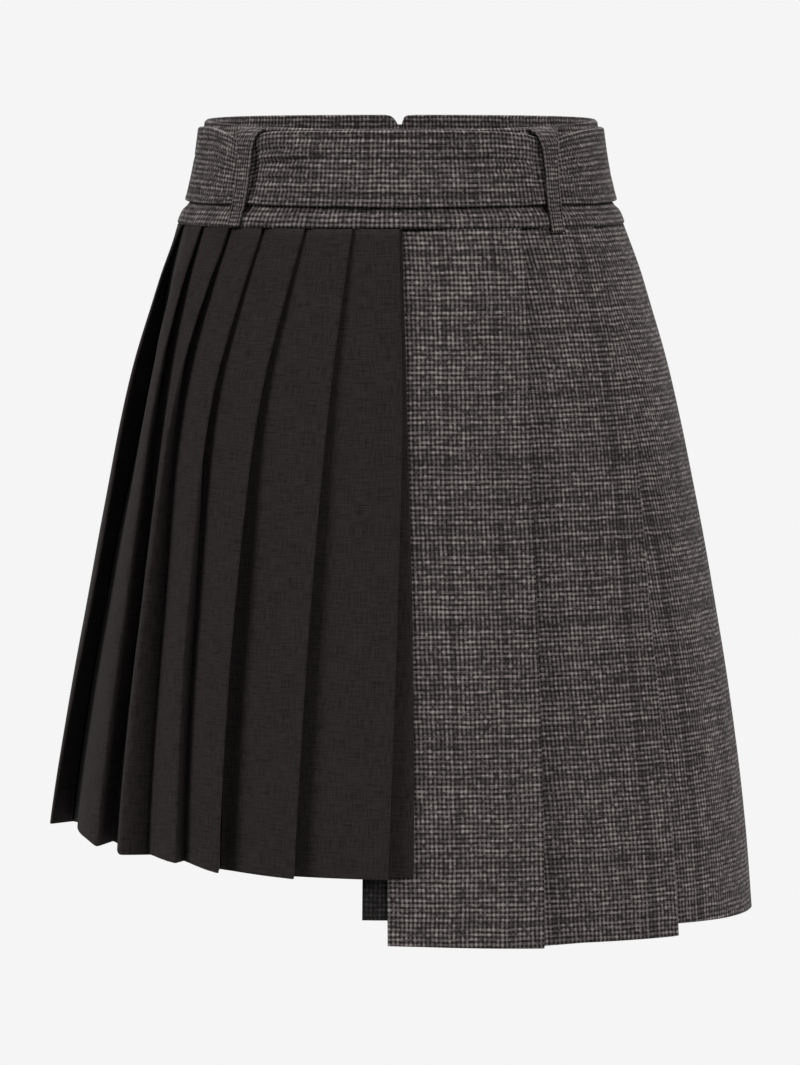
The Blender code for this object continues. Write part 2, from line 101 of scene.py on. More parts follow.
# ---- how finely the cloth is drawn ---------------------------------------------------------------
FACE_STEP = 1.15        # degrees between points along a face
LEVEL_COUNT = 96        # rings of a panel from the waist seam to the hem
BAND_POINTS = 190       # rings round each part of the waistband
BELT_POINTS = 700       # rings round the sash belt
LOOP_POINTS = 90        # rings down a belt loop
LOOP_FACE = 41          # points across its face
FOLD_POINTS = 7         # points round a fold
CLOSED_FOLD = 2.6       # radians; a fold that turns further than this has its full arc
OPEN_FOLD = 1.4         # radians; a fold that turns less than this is a plain bend
SOFT_BEFORE = 12        # points before a standing fold's edge that it rounds off over
SOFT_AFTER = 7          # points after it
SOFT_ROUNDS = 30
SOFT_FROM = 0.03        # share of the fall where a standing fold begins to be round
SOFT_OVER = 0.12        # share of the fall over which it gets there
HEM_START = 1.6         # mm above the hem where its edge begins to round off
HEM_ROUND = ((0.55, 1.0), (0.22, 0.86), (0.0, 0.45))  # mm above the edge, share of the wall
END_ROUND = ((0.0, 0.45), (0.18, 0.85), (0.45, 1.0))  # mm in from a side edge, share of the wall
DEEPEST = -2.6          # mm, no crease of the belt or waistband sinks further
CREASE_TAPER = 0.7      # how sharply a crease runs out at its ends
LEAST_MITRE = 0.6       # a wall's corner reaches no further than a half wall over this
EASE_ROUNDS = 4         # smoothing of a level's heights
LEVEL_ROUNDS = 3        # smoothing from level to level


def table(kind, *rows):
    """Rows with named columns from plain tuples."""
    return [kind(*row) for row in rows]


Form = namedtuple("Form", "drop side front back")
FORM = table(
    Form, (0, 11.65, 8.75, 8.9), (2.65, 12.02, 9, 9.2), (4.5, 12.42, 9.25, 9.5), (5.3, 12.68, 9.4, 9.7),
    (5.7, 13.08, 9.6, 9.98), (6.5, 13.42, 9.8, 10.3), (7.1, 13.65, 9.95, 10.6), (9.4, 14.5, 10.5, 11.5),
    (11.3, 15.08, 10.9, 12.1), (15, 16.17, 11.6, 12.9), (18.7, 17.05, 12.15, 13.4),
    (22.4, 17.82, 12.65, 13.8), (26.2, 18.57, 13.1, 14.1), (29.9, 19.22, 13.5, 14.4),
    (33.7, 19.87, 13.9, 14.6), (37.4, 20.42, 14.25, 14.8), (41.2, 20.92, 14.6, 15), (45, 21.32, 14.85, 15.2),
    (49.5, 21.68, 15.1, 15.4),
)
Edge = namedtuple("Edge", "angle drop")
DARK_HEM = table(
    Edge, (-180, 44.3), (-120, 44), (-90, 43.7), (-77, 43.38), (-60, 43.6), (-50, 44.25), (-38, 44.4),
    (-30, 44.72), (-17, 44.85), (5, 44.8),
)
CHECK_HEM = table(
    Edge, (-10, 48.9), (-2, 48.9), (22.5, 49.15), (30, 49.05), (48.5, 49.1), (52, 48.75), (70, 49),
    (90, 49.2), (180, 48.8),
)
Lift = namedtuple("Lift", "angle out")  # mm over the form
LIFT_DARK = table(Lift, (-180, 0), (-40, 0), (-14, 1.46), (10, 1.46))
LIFT_CHECK = table(Lift, (-10, 0), (180, 0))
Free = namedtuple("Free", "share angle")  # from the waist (0) to the hem (1)
DARK_FREE_EDGE = table(Free, (0, 0.35), (0.25, 1.2), (0.4, 1.6), (0.55, 2), (0.85, 2.2), (1, 2))
BELT_TOP = table(
    Edge, (-204, 0.6), (-150, 0.64), (-143, 0.95), (-137, 0.95), (-130, 0.66), (-90, 0.6), (-72, 0.57),
    (-63, 0.72), (-56, 1.05), (-50.5, 1.38), (-46, 1.25), (-42, 0.86), (-36, 0.75), (0, 0.7), (25, 0.74),
    (36, 0.88), (42, 1.12), (47, 1.2), (54, 0.98), (64, 0.74), (75, 0.65), (90, 0.62), (130, 0.64),
    (137, 0.92), (143, 0.92), (150, 0.64), (171, 0.6),
)
BELT_BOTTOM = table(Edge, (0, 5.25), (38, 5.16), (45, 5.1), (60, 5.18), (90, 5.12), (210, 5.1))

# ---- pleats --------------------------------------------------------------------------------------
# Fold-edge angles and tucks at the waist, hip, mid and hem, and how many mm the fold edge rises and the
# fold behind it sinks there; soft is how round a standing fold is.
PLEAT_LEVELS = (0.0, 0.25, 0.55, 1.0)
Pleat = namedtuple("Pleat", "name angles tucks rises sinks soft")
DARK_FRONT = table(
    Pleat,
    ("G", (-80, -78.6, -75, -76.8), (13, 9, 11, 13), (2.72, 5.4, 5.4, 11.2), (0, -10, -8.2, -7.2), 0.8),
    ("F", (-62.8, -60.1, -57.1, -55.6), (13, 8, 0, 4.5), (2.72, 7, 9.4, 13.4), (0, -2.4, -3.6, -4.5), 0.8),
    ("E", (-49.7, -53, -51.5, -50.3), (13, 5, -4, -11), (2.72, 5.4, 8.4, 10.2), (0, -3, -5, -5.5), 0.8),
    ("D", (-38, -42.2, -41, -38.4), (13, 6, 1, 0), (2.72, 4.4, 6.5, 6.8), (0, -1, -2.8, -3), 0.1),
    ("C", (-25.4, -29.9, -30.4, -29.8), (13, 12, 8, 4), (2.72, 4.8, 8.5, 9.5), (0, -0.9, -2.2, -3), 0),
    ("B", (-12.7, -14.8, -16.1, -17.1), (13, 13, 12, 10), (2.72, 4.4, 7, 8.5), (0, -0.4, -0.8, -0.8), 0),
    ("A", (-0.9, -0.1, -0.8, -2.3), (13, 13, 12, 12), (2.72, 3, 5, 7), (0, 0, 0, 0), 0),
)
DARK_BACK = table(
    Pleat, ("N", (-168.5, -168, -168, -167), (13, 13, 12, 12), (2.72, 3, 3.8, 4.5), (0, 0, 0, 0), 0),
    ("M", (-156, -155.5, -154, -153), (13, 12, 10, 8), (2.72, 3.6, 5, 6), (0, -0.3, -0.9, -1.5), 0),
    ("L", (-143.5, -142.5, -142, -143.5), (13, 10, 6, 3), (2.72, 4, 5.8, 7), (0, -0.8, -2.5, -4), 0),
    ("K", (-131, -131.5, -130, -129), (13, 9, 3, -2), (2.72, 4.5, 6.5, 9), (0, -1.5, -3.5, -5), 0.2),
    ("J", (-118, -117.5, -118.5, -119.5), (13, 7, 4, 3), (2.72, 5.2, 7.3, 11), (0, -2, -4, -6), 0.7),
    ("I", (-104.5, -104.5, -104, -103.5), (13, 6, 4, 5), (2.72, 5.6, 7.3, 11), (0, -2.6, -4.4, -6), 0.7),
)
CHECK_FRONT = table(
    Pleat, ("one", (31.4, 26.5, 24.2, 22.5), (30, 30, 28, 26), (3.12, 4, 4.6, 5.8), (0, -0.2, -0.7, -2), 0),
    ("two", (57.6, 54.2, 49.6, 48.6), (26, 24, 20, 14), (3.12, 4.2, 5.3, 7.8), (0, -1.1, -3.9, -11), 0),
)
CHECK_BACK = table(
    Pleat, ("three", (110, 108, 106, 104), (22, 20, 18, 14), (3.12, 3.4, 4.1, 6), (0, -0.8, -2.8, -8), 0),
    ("four", (134, 132, 131, 131), (26, 26, 24, 22), (3.12, 3.3, 3.8, 5), (0, -0.3, -1.1, -3), 0),
    ("five", (157, 156.5, 156.5, 157), (26, 26, 26, 26), (3.12, 3.2, 3.4, 4), (0, -0.1, -0.4, -1), 0),
)

Run = namedtuple("Run", "drop out")
FRONT_LOOP = table(
    Run, (0.62, 5.1), (0.78, 7.2), (1, 9), (1.6, 9.7), (3, 9.7), (4.6, 9.6), (5.15, 9.1), (5.5, 7.2),
    (5.85, 5.3), (6.45, 5.2),
)
BACK_LOOP = table(
    Run, (0.24, 5.1), (0.38, 7.2), (0.6, 9), (1.4, 9.7), (3, 9.7), (4.6, 9.6), (5.15, 9.1), (5.5, 7.2),
    (5.85, 5.3), (6.45, 5.2),
)
Loop = namedtuple("Loop", "name angle_top angle_foot bow path foot")  # bow: 1 runs straight, more turns early
LOOPS = table(
    Loop, ("belt_loop_front_left", -49.5, -47, 3.6, FRONT_LOOP, 6.45),
    ("belt_loop_front_right", 46, 42.8, 1, FRONT_LOOP, 6.8),
    ("belt_loop_back_left", -140, -140, 1, BACK_LOOP, 6.45),
    ("belt_loop_back_right", 140, 140, 1, BACK_LOOP, 6.45),
)
Notch = namedtuple("Notch", "away drop")
NOTCH_LEFT = table(Notch, (0, 0.8), (0.9, 0.62), (2, 0.25), (3.2, 0.06), (5, 0))
NOTCH_RIGHT = table(Notch, (0, 0.8), (0.5, 0.4), (1, 0.14), (2, 0.03), (5, 0))

# ---- creases: both ends (degrees, cm), half-width and height (mm) --------------------------------
Crease = namedtuple("Crease", "angle_a drop_a angle_b drop_b width height")
BELT_CREASES = table(
    Crease, (-38, 1.22, 36, 1.1, 1.8, -1.92), (-40, 1.62, -12, 1.5, 3, 0.7), (-12, 1.8, 30, 1.78, 1.6, -1.15),
    (-44, 2.62, -20, 2.36, 2.2, -2.1), (-24, 2.38, 6, 2.4, 1.6, -1.15), (4, 2.42, 40, 2.46, 1.9, -1.92),
    (-45, 2.05, -30, 1.66, 2, -2.05), (-45, 3.05, -24, 3.02, 2, -1.66), (-45, 3.5, -22, 3.72, 2, -1.4),
    (-45, 4.05, -28, 4.42, 2, -1.28), (-26, 3.15, -2, 3.05, 2.7, -0.51), (8, 3.1, 36, 2.98, 2.7, -0.77),
    (36, 1.66, 20, 1.52, 1.8, -1.28), (39, 2.02, 26, 2.02, 1.9, -1.54), (39, 2.95, 22, 3.12, 2, -1.28),
    (39, 3.62, 24, 3.8, 2.2, -1.03), (-30, 4.62, 34, 4.66, 2.2, -0.72), (-10, 4.02, 22, 4.08, 3.5, 0.57),
    (-53, 1.6, -78, 1.2, 2, -2.05), (-53, 2.1, -84, 1.88, 2, -1.92), (-53, 2.78, -90, 2.52, 2.2, -2.1),
    (-53, 3.3, -80, 3.12, 2, -1.28), (-53, 3.82, -88, 3.52, 2, -1.92), (-52, 4.3, -76, 4.12, 2, -1.28),
    (-56, 4.7, -90, 4.62, 2.2, -1.15), (-60, 2.42, -86, 2.22, 2.4, 0.85), (48, 1.78, 74, 1.14, 2, -2.05),
    (48, 2.28, 80, 1.7, 2.2, -2.05), (48, 2.78, 86, 2.3, 2.2, -1.8), (48, 3.3, 84, 3.06, 2, -1.92),
    (50, 3.86, 90, 3.66, 2, -1.66), (50, 4.32, 82, 4.16, 2, -1.15), (52, 4.74, 90, 4.64, 2.3, -1.15),
    (56, 2.58, 84, 2.06, 2.4, 0.85), (-96, 1.3, -134, 1.66, 2, -1.8), (-88, 2.3, -136, 2.26, 2.3, -1.54),
    (-100, 2.92, -136, 3.04, 2, -1.92), (-92, 3.62, -135, 3.66, 2.2, -1.4),
    (-104, 4.32, -136, 4.22, 2, -1.28), (-144, 1.72, -170, 1.28, 2.2, -1.8),
    (-144, 2.42, -176, 2.22, 2, -1.54), (-144, 3.12, -168, 3.1, 2.2, -1.28),
    (-144, 3.82, -178, 4.1, 2.2, -1.15), (98, 1.26, 136, 1.7, 2, -1.66), (92, 1.92, 136, 2.2, 2.3, -1.8),
    (102, 2.82, 136, 2.86, 2, -1.54), (90, 3.42, 136, 3.52, 2.2, -1.66), (100, 4.3, 136, 4.16, 2, -1.15),
    (144, 1.62, 168, 1.26, 2, -1.66), (144, 2.52, 170, 2.4, 2.2, -1.4), (144, 3.22, 166, 3.36, 2.2, -1.28),
    (144, 3.92, 170, 4.16, 2, -1.03), (-44.4, 1.5, -43.2, 5, 2.4, -2.3), (-51.8, 1.2, -49.8, 5, 1.8, -1.2),
    (40.6, 1.5, 38.8, 5, 2.4, -2.3), (48.6, 1.2, 46.4, 5, 1.8, -1.2), (-43.8, 2.2, -40.4, 4, 4.5, -1.5),
    (-43.5, 2.75, -31, 2.66, 1.8, -2), (-43.5, 3.7, -34, 3.86, 1.8, -1.8), (40, 2.45, 29, 2.6, 1.8, -1.6),
    (-53, 1.9, -80, 1.58, 2.4, 1.05), (-53, 2.48, -84, 2.2, 2.2, 0.9), (-54, 3.08, -86, 2.86, 2.4, 1.05),
    (-54, 3.6, -84, 3.36, 2.2, 0.9), (-54, 4.1, -84, 3.88, 2.2, 0.9), (48, 2.05, 78, 1.44, 2.4, 1.05),
    (48, 2.56, 80, 2.02, 2.2, 0.9), (48, 3.06, 84, 2.72, 2.4, 1.05), (49, 3.58, 86, 3.38, 2.2, 0.9),
    (50, 4.1, 84, 3.92, 2.2, 0.9), (-44, 2.34, -24, 2.02, 2.4, 1.2), (-44, 2.84, -22, 2.72, 2.2, 1.05),
    (-44, 3.3, -24, 3.4, 2.2, 0.9), (-44, 3.78, -26, 4.08, 2.4, 0.9), (40, 1.86, 22, 1.66, 2.2, 1.05),
    (40, 2.26, 24, 2.16, 2.2, 0.9), (40, 2.72, 20, 2.78, 2.4, 1.05), (40, 3.3, 22, 3.46, 2.4, 0.9),
    (-18, 1.32, 20, 1.45, 2.6, 0.75), (-14, 2.1, 18, 2.1, 2.6, 0.75),
)
BAND_CREASES = table(
    Crease, (-48, 5.62, -84, 6.1, 2.2, -1.8), (-50, 5.42, -74, 5.62, 1.8, -1.15),
    (-50, 6.02, -70, 6.3, 2, -1.15), (48, 5.58, 82, 5.92, 2, -1.66), (50, 5.98, 86, 6.24, 2, -1.4),
    (52, 5.4, 74, 5.5, 1.8, -1.03), (-100, 5.6, -134, 5.9, 2.2, -1.28), (102, 5.62, 136, 5.86, 2.2, -1.28),
    (-56, 0.66, -78, 0.3, 2, -1.4), (54, 0.62, 80, 0.26, 2, -1.4), (-24.4, 5.25, -24.4, 6.5, 0.5, -1.22),
)
PANEL_CREASES = table(
    Crease, (-8, 12, -9.5, 40, 9, 0.55), (-20, 9, -24.5, 36, 8, 0.5), (-34, 14, -34, 40, 7, 0.6),
    (-66, 7.2, -69, 14.5, 6, 1.3), (-45, 8, -48, 20, 6, 0.6), (10, 14, 8, 46, 16, 0.7),
    (44, 7.4, 60, 13, 7, -0.8), (44, 7.2, 40, 15, 8, -0.6), (36, 16, 34, 44, 14, 0.8),
    (66, 12, 62, 40, 12, 0.8), (78, 20, 74, 47, 11, -0.9), (-100, 9, -98, 20, 7, 0.9),
    (-124, 10, -126, 30, 8, 0.6), (-148, 8.5, -150, 34, 8, 0.6), (-174, 12, -174, 40, 9, 0.5),
    (121, 12, 120, 42, 14, 0.8), (145, 9, 146, 38, 14, 0.7), (169, 14, 169, 44, 12, 0.6),
    (98, 10, 94, 28, 8, -0.7),
)


# ---- tables and places ---------------------------------------------------------------------------
def column(rows, name):
    return np.array([getattr(row, name) for row in rows], float)


def straight(rows, key, value, x):
    """A table's column at x, straight between its rows."""
    return np.interp(x, column(rows, key), column(rows, value))


def bend(a, b, leave, arrive, t):
    """A smooth way from a to b with a given slope at each of its ends."""
    slopes = (t ** 3 - 2 * t ** 2 + t) * leave + (t ** 3 - t ** 2) * arrive
    return a + (b - a) * t * t * (3 - 2 * t) + slopes


def soft_curve(xs, ys, x):
    """A smooth curve through a table's points that never overshoots them."""
    gap = np.diff(xs)
    rate = np.diff(ys) / gap
    slope = np.empty(len(xs))
    slope[0] = rate[0]
    slope[-1] = rate[-1]
    same = rate[1:] * rate[:-1] > 0
    with np.errstate(divide="ignore", invalid="ignore"):
        slope[1:-1] = np.where(same, 2 * rate[1:] * rate[:-1] / (rate[1:] + rate[:-1]), 0.0)
    i = np.clip(np.searchsorted(xs, x, side="right") - 1, 0, len(xs) - 2)
    t = np.clip((x - xs[i]) / gap[i], 0.0, 1.0)
    return bend(ys[i], ys[i + 1], slope[i] * gap[i], slope[i + 1] * gap[i], t)


def mix(a, b, share):
    return a + (b - a) * share


def form_at(drop):
    """Half-widths of the form in metres at drops in metres."""
    at = np.asarray(drop, float) / CM
    xs = column(FORM, "drop")
    return [soft_curve(xs, column(FORM, name), at) * CM for name in ("side", "front", "back")]


def place(angle, drop, out):
    """Points at angles and drops, out millimetres off the form along its normal."""
    side, front, back = form_at(drop)
    s = np.sin(np.radians(angle))
    c = np.cos(np.radians(angle))
    depth = np.where(c >= 0, front, back)
    nx = s / side
    ny = -c / depth
    size = np.hypot(nx, ny)
    off = np.asarray(out, float) * MM
    x = side * s + off * nx / size
    y = -depth * c + off * ny / size
    return np.stack(np.broadcast_arrays(x, y, -np.asarray(drop, float)), axis=-1)


def degrees_for(run, angle, drop):
    """Degrees that take up run millimetres of the form's round at this angle and drop."""
    side, front, back = form_at(drop)
    s = math.sin(math.radians(angle))
    c = math.cos(math.radians(angle))
    depth = front if c >= 0 else back
    return math.degrees(run * MM / math.hypot(side * c, depth * s))


def creased(rows, angle, drop):
    """Height in millimetres that the creases give at angles and drops in metres."""
    side, front, _ = form_at(drop)
    radius = (side + front) / 2 / MM
    x = np.radians(angle) * radius
    y = drop / MM
    total = np.zeros(np.broadcast(x, y).shape)
    for row in rows:
        ends = []
        for turn, deep in ((row.angle_a, row.drop_a), (row.angle_b, row.drop_b)):
            side, front, _ = form_at(deep * CM)
            ends.append((math.radians(turn) * float(side + front) / 2 / MM, deep * 10))
        (xa, ya), (xb, yb) = ends
        length = math.hypot(xb - xa, yb - ya)
        ux, uy = (xb - xa) / length, (yb - ya) / length
        along = (x - xa) * ux + (y - ya) * uy
        across = (x - xa) * uy - (y - ya) * ux
        fade = np.clip(along / length, 0, 1)
        window = np.clip(4 * fade * (1 - fade), 0, 1) ** CREASE_TAPER
        total = total + row.height * np.exp(-((across / row.width) ** 2)) * window
    return total


# ---- closed shells from rings --------------------------------------------------------------------
def link_new(name, data):
    """A new object at the origin of the scene."""
    made = bpy.data.objects.new(name, data)
    bpy.context.scene.collection.objects.link(made)
    return made


def shell(name, rings, us, vs, material):
    """A closed tube through rings (levels x points x 3). us holds each side's u at its two ends."""
    levels, count, _ = rings.shape
    low = np.arange(levels - 1)[:, None] * count
    at = np.arange(count)[None, :]
    after = (at + 1) % count
    quads = np.stack([low + at, low + after, low + count + after, low + count + at], axis=-1)
    starts = np.stack([us[..., 0], vs], -1)
    stops = np.stack([us[..., 1], np.roll(vs, -1, axis=1)], -1)
    grain = np.stack([starts[:-1], stops[:-1], stops[1:], starts[1:]], axis=2)
    i = np.arange(count // 2 - 1)
    cap = np.stack([i, i + 1, count - 2 - i, count - 1 - i], axis=-1)
    faces = np.concatenate([quads.reshape(-1, 4), cap, cap + (levels - 1) * count])
    corners = np.concatenate([grain.reshape(-1, 4, 2), starts[0][cap], starts[-1][cap]])
    mesh = bpy.data.meshes.new(name)
    mesh.from_pydata(rings.reshape(-1, 3).tolist(), [], faces.tolist())
    mesh.uv_layers.new(name=GRAIN).data.foreach_set("uv", corners.reshape(-1).astype(np.float32))
    bm = bmesh.new()
    bm.from_mesh(mesh)
    bmesh.ops.recalc_face_normals(bm, faces=bm.faces[:])
    bm.to_mesh(mesh)
    bm.free()
    mesh.shade_smooth()
    mesh.materials.append(material)
    return link_new(name, mesh)


def plain_us(us):
    """u at both ends of each side of a ring, from u at its points."""
    return np.stack([us, np.roll(us, -1, axis=1)], axis=-1)


def there_and_back(out, back):
    """Values round a ring: along its outer side, then back along its inner side."""
    return np.concatenate([out, back[:, ::-1]], axis=1)


def running(steps):
    """Running total along the last axis, from 0."""
    return np.concatenate([np.zeros(steps.shape[:-1] + (1,)), np.cumsum(steps, axis=-1)], axis=-1)


def wall_sides(line, half):
    """Points a half wall to each side of level lines (levels x points x 3), mitred at corners."""
    step = np.diff(line[..., :2], axis=1)
    step = step / np.maximum(np.linalg.norm(step, axis=2, keepdims=True), 1e-9)
    before = np.concatenate([step[:, :1], step], axis=1)
    after = np.concatenate([step, step[:, -1:]], axis=1)
    n1 = np.stack([-before[..., 1], before[..., 0]], -1)
    n2 = np.stack([-after[..., 1], after[..., 0]], -1)
    mitre = n1 + n2
    mitre = mitre / np.maximum(np.linalg.norm(mitre, axis=2, keepdims=True), 1e-9)
    reach = half / np.maximum(LEAST_MITRE, (mitre * n1).sum(axis=2))
    off = np.concatenate([mitre * reach[..., None], np.zeros(mitre.shape[:2] + (1,))], axis=2)
    return line + off, line - off


# ---- folded panels -------------------------------------------------------------------------------
Panel = namedtuple("Panel", "node pleats ends hem lift cloth flat_to")
Station = namedtuple("Station", "angle out turn owner")


def along_pleat(values, share):
    """Smooth curve through a pleat column's values at PLEAT_LEVELS."""
    at = PLEAT_LEVELS
    i = max(k for k in range(len(at) - 1) if share >= at[k])
    span = at[i + 1] - at[i]
    rate = (values[i + 1] - values[i]) / span
    before = (values[i] - values[i - 1]) / (at[i] - at[i - 1]) if i > 0 else rate
    after = (values[i + 2] - values[i + 1]) / (at[i + 2] - at[i + 1]) if i + 2 < len(at) else rate
    leave = (rate + before) / 2 * span
    arrive = (rate + after) / 2 * span
    return bend(values[i], values[i + 1], leave, arrive, (share - at[i]) / span)


def dark_front_ends(share):
    free = float(straight(DARK_FREE_EDGE, "share", "angle", share))
    return -90.0 + SEAM_TOUCH, DARK_SIDE_OUT, free, 0.0


def dark_back_ends(share):
    return -180.0 + SEAM_TOUCH, 0.0, -90.0 - SEAM_TOUCH, DARK_SIDE_OUT


def check_front_ends(share):
    return mix(*CHECK_FREE_EDGE, share), 0.0, 90.0 - SEAM_TOUCH, CHECK_SIDE_OUT


def check_back_ends(share):
    return 90.0 + SEAM_TOUCH, CHECK_SIDE_OUT, 180.0 - SEAM_TOUCH, 0.0


def face_points(angle_a, out_a, angle_b, out_b, count, owner):
    """Evenly spaced points of a face between its two ends, both left out."""
    shares = [(i + 1) / (count + 1) for i in range(count)]
    return [Station(mix(angle_a, angle_b, s), mix(out_a, out_b, s), 0, owner) for s in shares]


def face_counts(panel):
    """Points along each face, the same at every level."""
    first = panel.ends(1.0)[0]
    last = panel.ends(1.0)[2]
    edges = [(first,) * 4] + [p.angles for p in panel.pleats] + [(last,) * 4]
    spans = [max(b - a for a, b in zip(low, high)) for low, high in zip(edges, edges[1:])]
    return [max(3, math.ceil(span / FACE_STEP)) for span in spans]


def folded_line(panel, share, counts):
    """Stations of the folded cloth at one level; owner is the fold edge whose grain it follows."""
    layer = panel.cloth + SLIT
    seam = SEAM_FOOT * CM
    first, first_out, last, last_out = panel.ends(share)
    path = []
    for run, _ in END_ROUND:
        path.append(Station(first + degrees_for(run, first, seam), first_out, 0, 0))
    if panel.flat_to is not None:
        path.extend(face_points(path[-1].angle, first_out, panel.flat_to, first_out, 5, 0))
        path.append(Station(panel.flat_to, first_out, 0, 0))
    at = path[-1].angle
    height = first_out
    for owner, pleat in enumerate(panel.pleats):
        ridge = along_pleat(pleat.angles, share)
        tuck_run = along_pleat(pleat.tucks, share)
        drop = mix(seam, float(straight(panel.hem, "angle", "drop", ridge)) * CM, share)
        over_run = max(tuck_run, LEAST_TUCK)
        inner = ridge - degrees_for(tuck_run, ridge, drop)
        over = degrees_for(over_run, ridge, drop)
        run = degrees_for(EDGE_RUN, ridge, drop)
        rise = max(2 * layer, along_pleat(pleat.rises, share))
        sink = along_pleat(pleat.sinks, share)
        packed = min(1.0, max(0.0, (tuck_run - LEAST_TUCK) / CLOSING_TUCK))
        foot = sink + layer / 2 * packed

        def face_out(angle):
            climb = mix(height, rise, (angle - at) / (ridge - at))
            clear = mix(rise, sink + 2 * layer, (ridge - angle) / over)
            return max(climb, mix(climb, clear, packed))

        lift_on = ridge - over - run
        lift_out = face_out(ridge - over)
        path.extend(face_points(at, height, lift_on, lift_out, counts[owner], owner))
        path.append(Station(lift_on, lift_out, 0, owner))
        for inset in (1.0, 0.75, 0.5, 0.25):
            angle = ridge - over * inset
            path.append(Station(angle, face_out(angle), 0, owner))
        path.append(Station(ridge, rise - layer / 2, 1, owner))
        for way in (0.2, 0.4, 0.6, 0.8):
            path.append(Station(mix(ridge, inner, way), mix(rise - layer / 2, foot, way), 0, owner))
        path.append(Station(inner, foot, -1, owner))
        leave = max(ridge, inner) + run
        for way in (0.25, 0.45, 0.65, 0.85):
            path.append(Station(mix(inner, leave, way), sink, 0, owner + 1))
        path.append(Station(leave, sink, 0, owner + 1))
        at = leave
        height = sink
    owner = len(panel.pleats)
    ends = [Station(last - degrees_for(run, last, seam), last_out, 0, owner) for run, _ in END_ROUND[::-1]]
    path.extend(face_points(at, height, ends[0].angle, last_out, counts[-1], owner))
    path.extend(ends)
    return path


def ease(rows, free):
    """Soften a grid of values along its second axis where free is true."""
    for _ in range(EASE_ROUNDS):
        near = (rows[:, :-2] + rows[:, 2:]) / 2
        rows[:, 1:-1] = np.where(free[None, 1:-1], (rows[:, 1:-1] + near) / 2, rows[:, 1:-1])
    return rows


def levels_to_hem(fall):
    """Share of a fall in mm at each ring, and the share of the wall there: it rounds off at the hem."""
    above, part = np.array(HEM_ROUND).T
    shares = np.concatenate([np.linspace(0, 1 - HEM_START / fall, LEVEL_COUNT), 1 - above / fall])
    return shares, np.concatenate([np.ones(LEVEL_COUNT), part])


def walled(line, wall, level_wall, first, last):
    """Rings of cloth about level lines, thinned at both ends of a line, and how far each point runs."""
    half = np.full(line.shape[:2], wall / 2 * MM) * level_wall[:, None]
    half[:, :len(first)] *= first
    half[:, -len(last):] *= last
    run = running(np.linalg.norm(np.diff(line[..., :2], axis=1), axis=2))
    return there_and_back(*wall_sides(line, half)), run


def folded_panel(panel, wall, material):
    """The panel's cloth, with round folds, its creases and its grain; gives the piece and its cut."""
    counts = face_counts(panel)
    seam = SEAM_FOOT * CM
    shares, level_wall = levels_to_hem((float(straight(panel.hem, "angle", "drop", 0.0)) * CM - seam) / MM)
    lines = [folded_line(panel, share, counts) for share in shares]
    turns = column(lines[0], "turn")
    owners = column(lines[0], "owner").astype(int)
    angles = np.array([column(line, "angle") for line in lines])
    outs = np.array([column(line, "out") for line in lines])
    free = np.ones(len(turns), bool)
    free[:len(END_ROUND)] = free[-len(END_ROUND):] = False
    for i in np.flatnonzero(turns):
        free[i - 1:i + 2] = False
    outs = ease(outs, free)
    for grid in (angles, outs):
        for _ in range(LEVEL_ROUNDS):
            grid[1:-1] = (grid[1:-1] * 2 + grid[:-2] + grid[2:]) / 4
    drops = mix(seam, straight(panel.hem, "angle", "drop", angles) * CM, shares[:, None])
    begun = np.clip((drops - seam) / (CREASE_START * CM), 0, 1)
    outs = outs + straight(panel.lift, "angle", "out", angles) + creased(PANEL_CREASES, angles, drops) * begun
    line, owner, tops = round_folds(place(angles, drops, outs), turns, owners, (panel.cloth + SLIT) / 2 * MM)
    for pleat, top in zip(panel.pleats, tops):
        soften(line, top, pleat.soft * np.clip((shares - SOFT_FROM) / SOFT_OVER, 0, 1))
    thin = np.array([part for _, part in END_ROUND])
    rings, run = walled(line, wall, level_wall, thin, thin[::-1])
    piece = shell(panel.node + "_cloth", rings, *grain_of(line, run, owner), material)
    fall = np.linalg.norm(np.diff(line, axis=0), axis=2).sum(axis=0)
    area = float((np.diff(-line[:, :, 2], axis=0).mean(axis=1) * (run[1:, -1] + run[:-1, -1]) / 2).sum())
    area *= float(fall.mean() / np.abs(line[-1, :, 2] - line[0, :, 2]).mean())
    return piece, (float(run[:, -1].max()), float(fall.max())), area


def underlap(wall, material):
    """The check layer that shows past the check front panel's free edge."""
    angles = np.concatenate([[-6.2, -6.1, -5.95], np.linspace(-5.4, 9.6, 24), [9.95, 10.0]])[None, :]
    shares, level_wall = levels_to_hem((UNDERLAP_HEM - SEAM_FOOT) * 10)
    drops = mix(SEAM_FOOT, UNDERLAP_HEM, shares)[:, None] * CM
    begun = np.clip(shares * 12, 0, 1)[:, None]
    line = place(angles, drops, UNDERLAP_OUT + creased(PANEL_CREASES, angles, drops) * begun)
    rings, run = walled(line, wall, level_wall, (0.45, 0.85), (0.45,))
    v = -line[..., 2] * FALL_GRAIN
    us = plain_us(there_and_back(run, run))
    piece = shell("check_underlap_cloth", rings, us, there_and_back(v, v), material)
    return piece, (float(run[:, -1].mean()), float(np.linalg.norm(np.diff(line[:, 5], axis=0), axis=1).sum()))


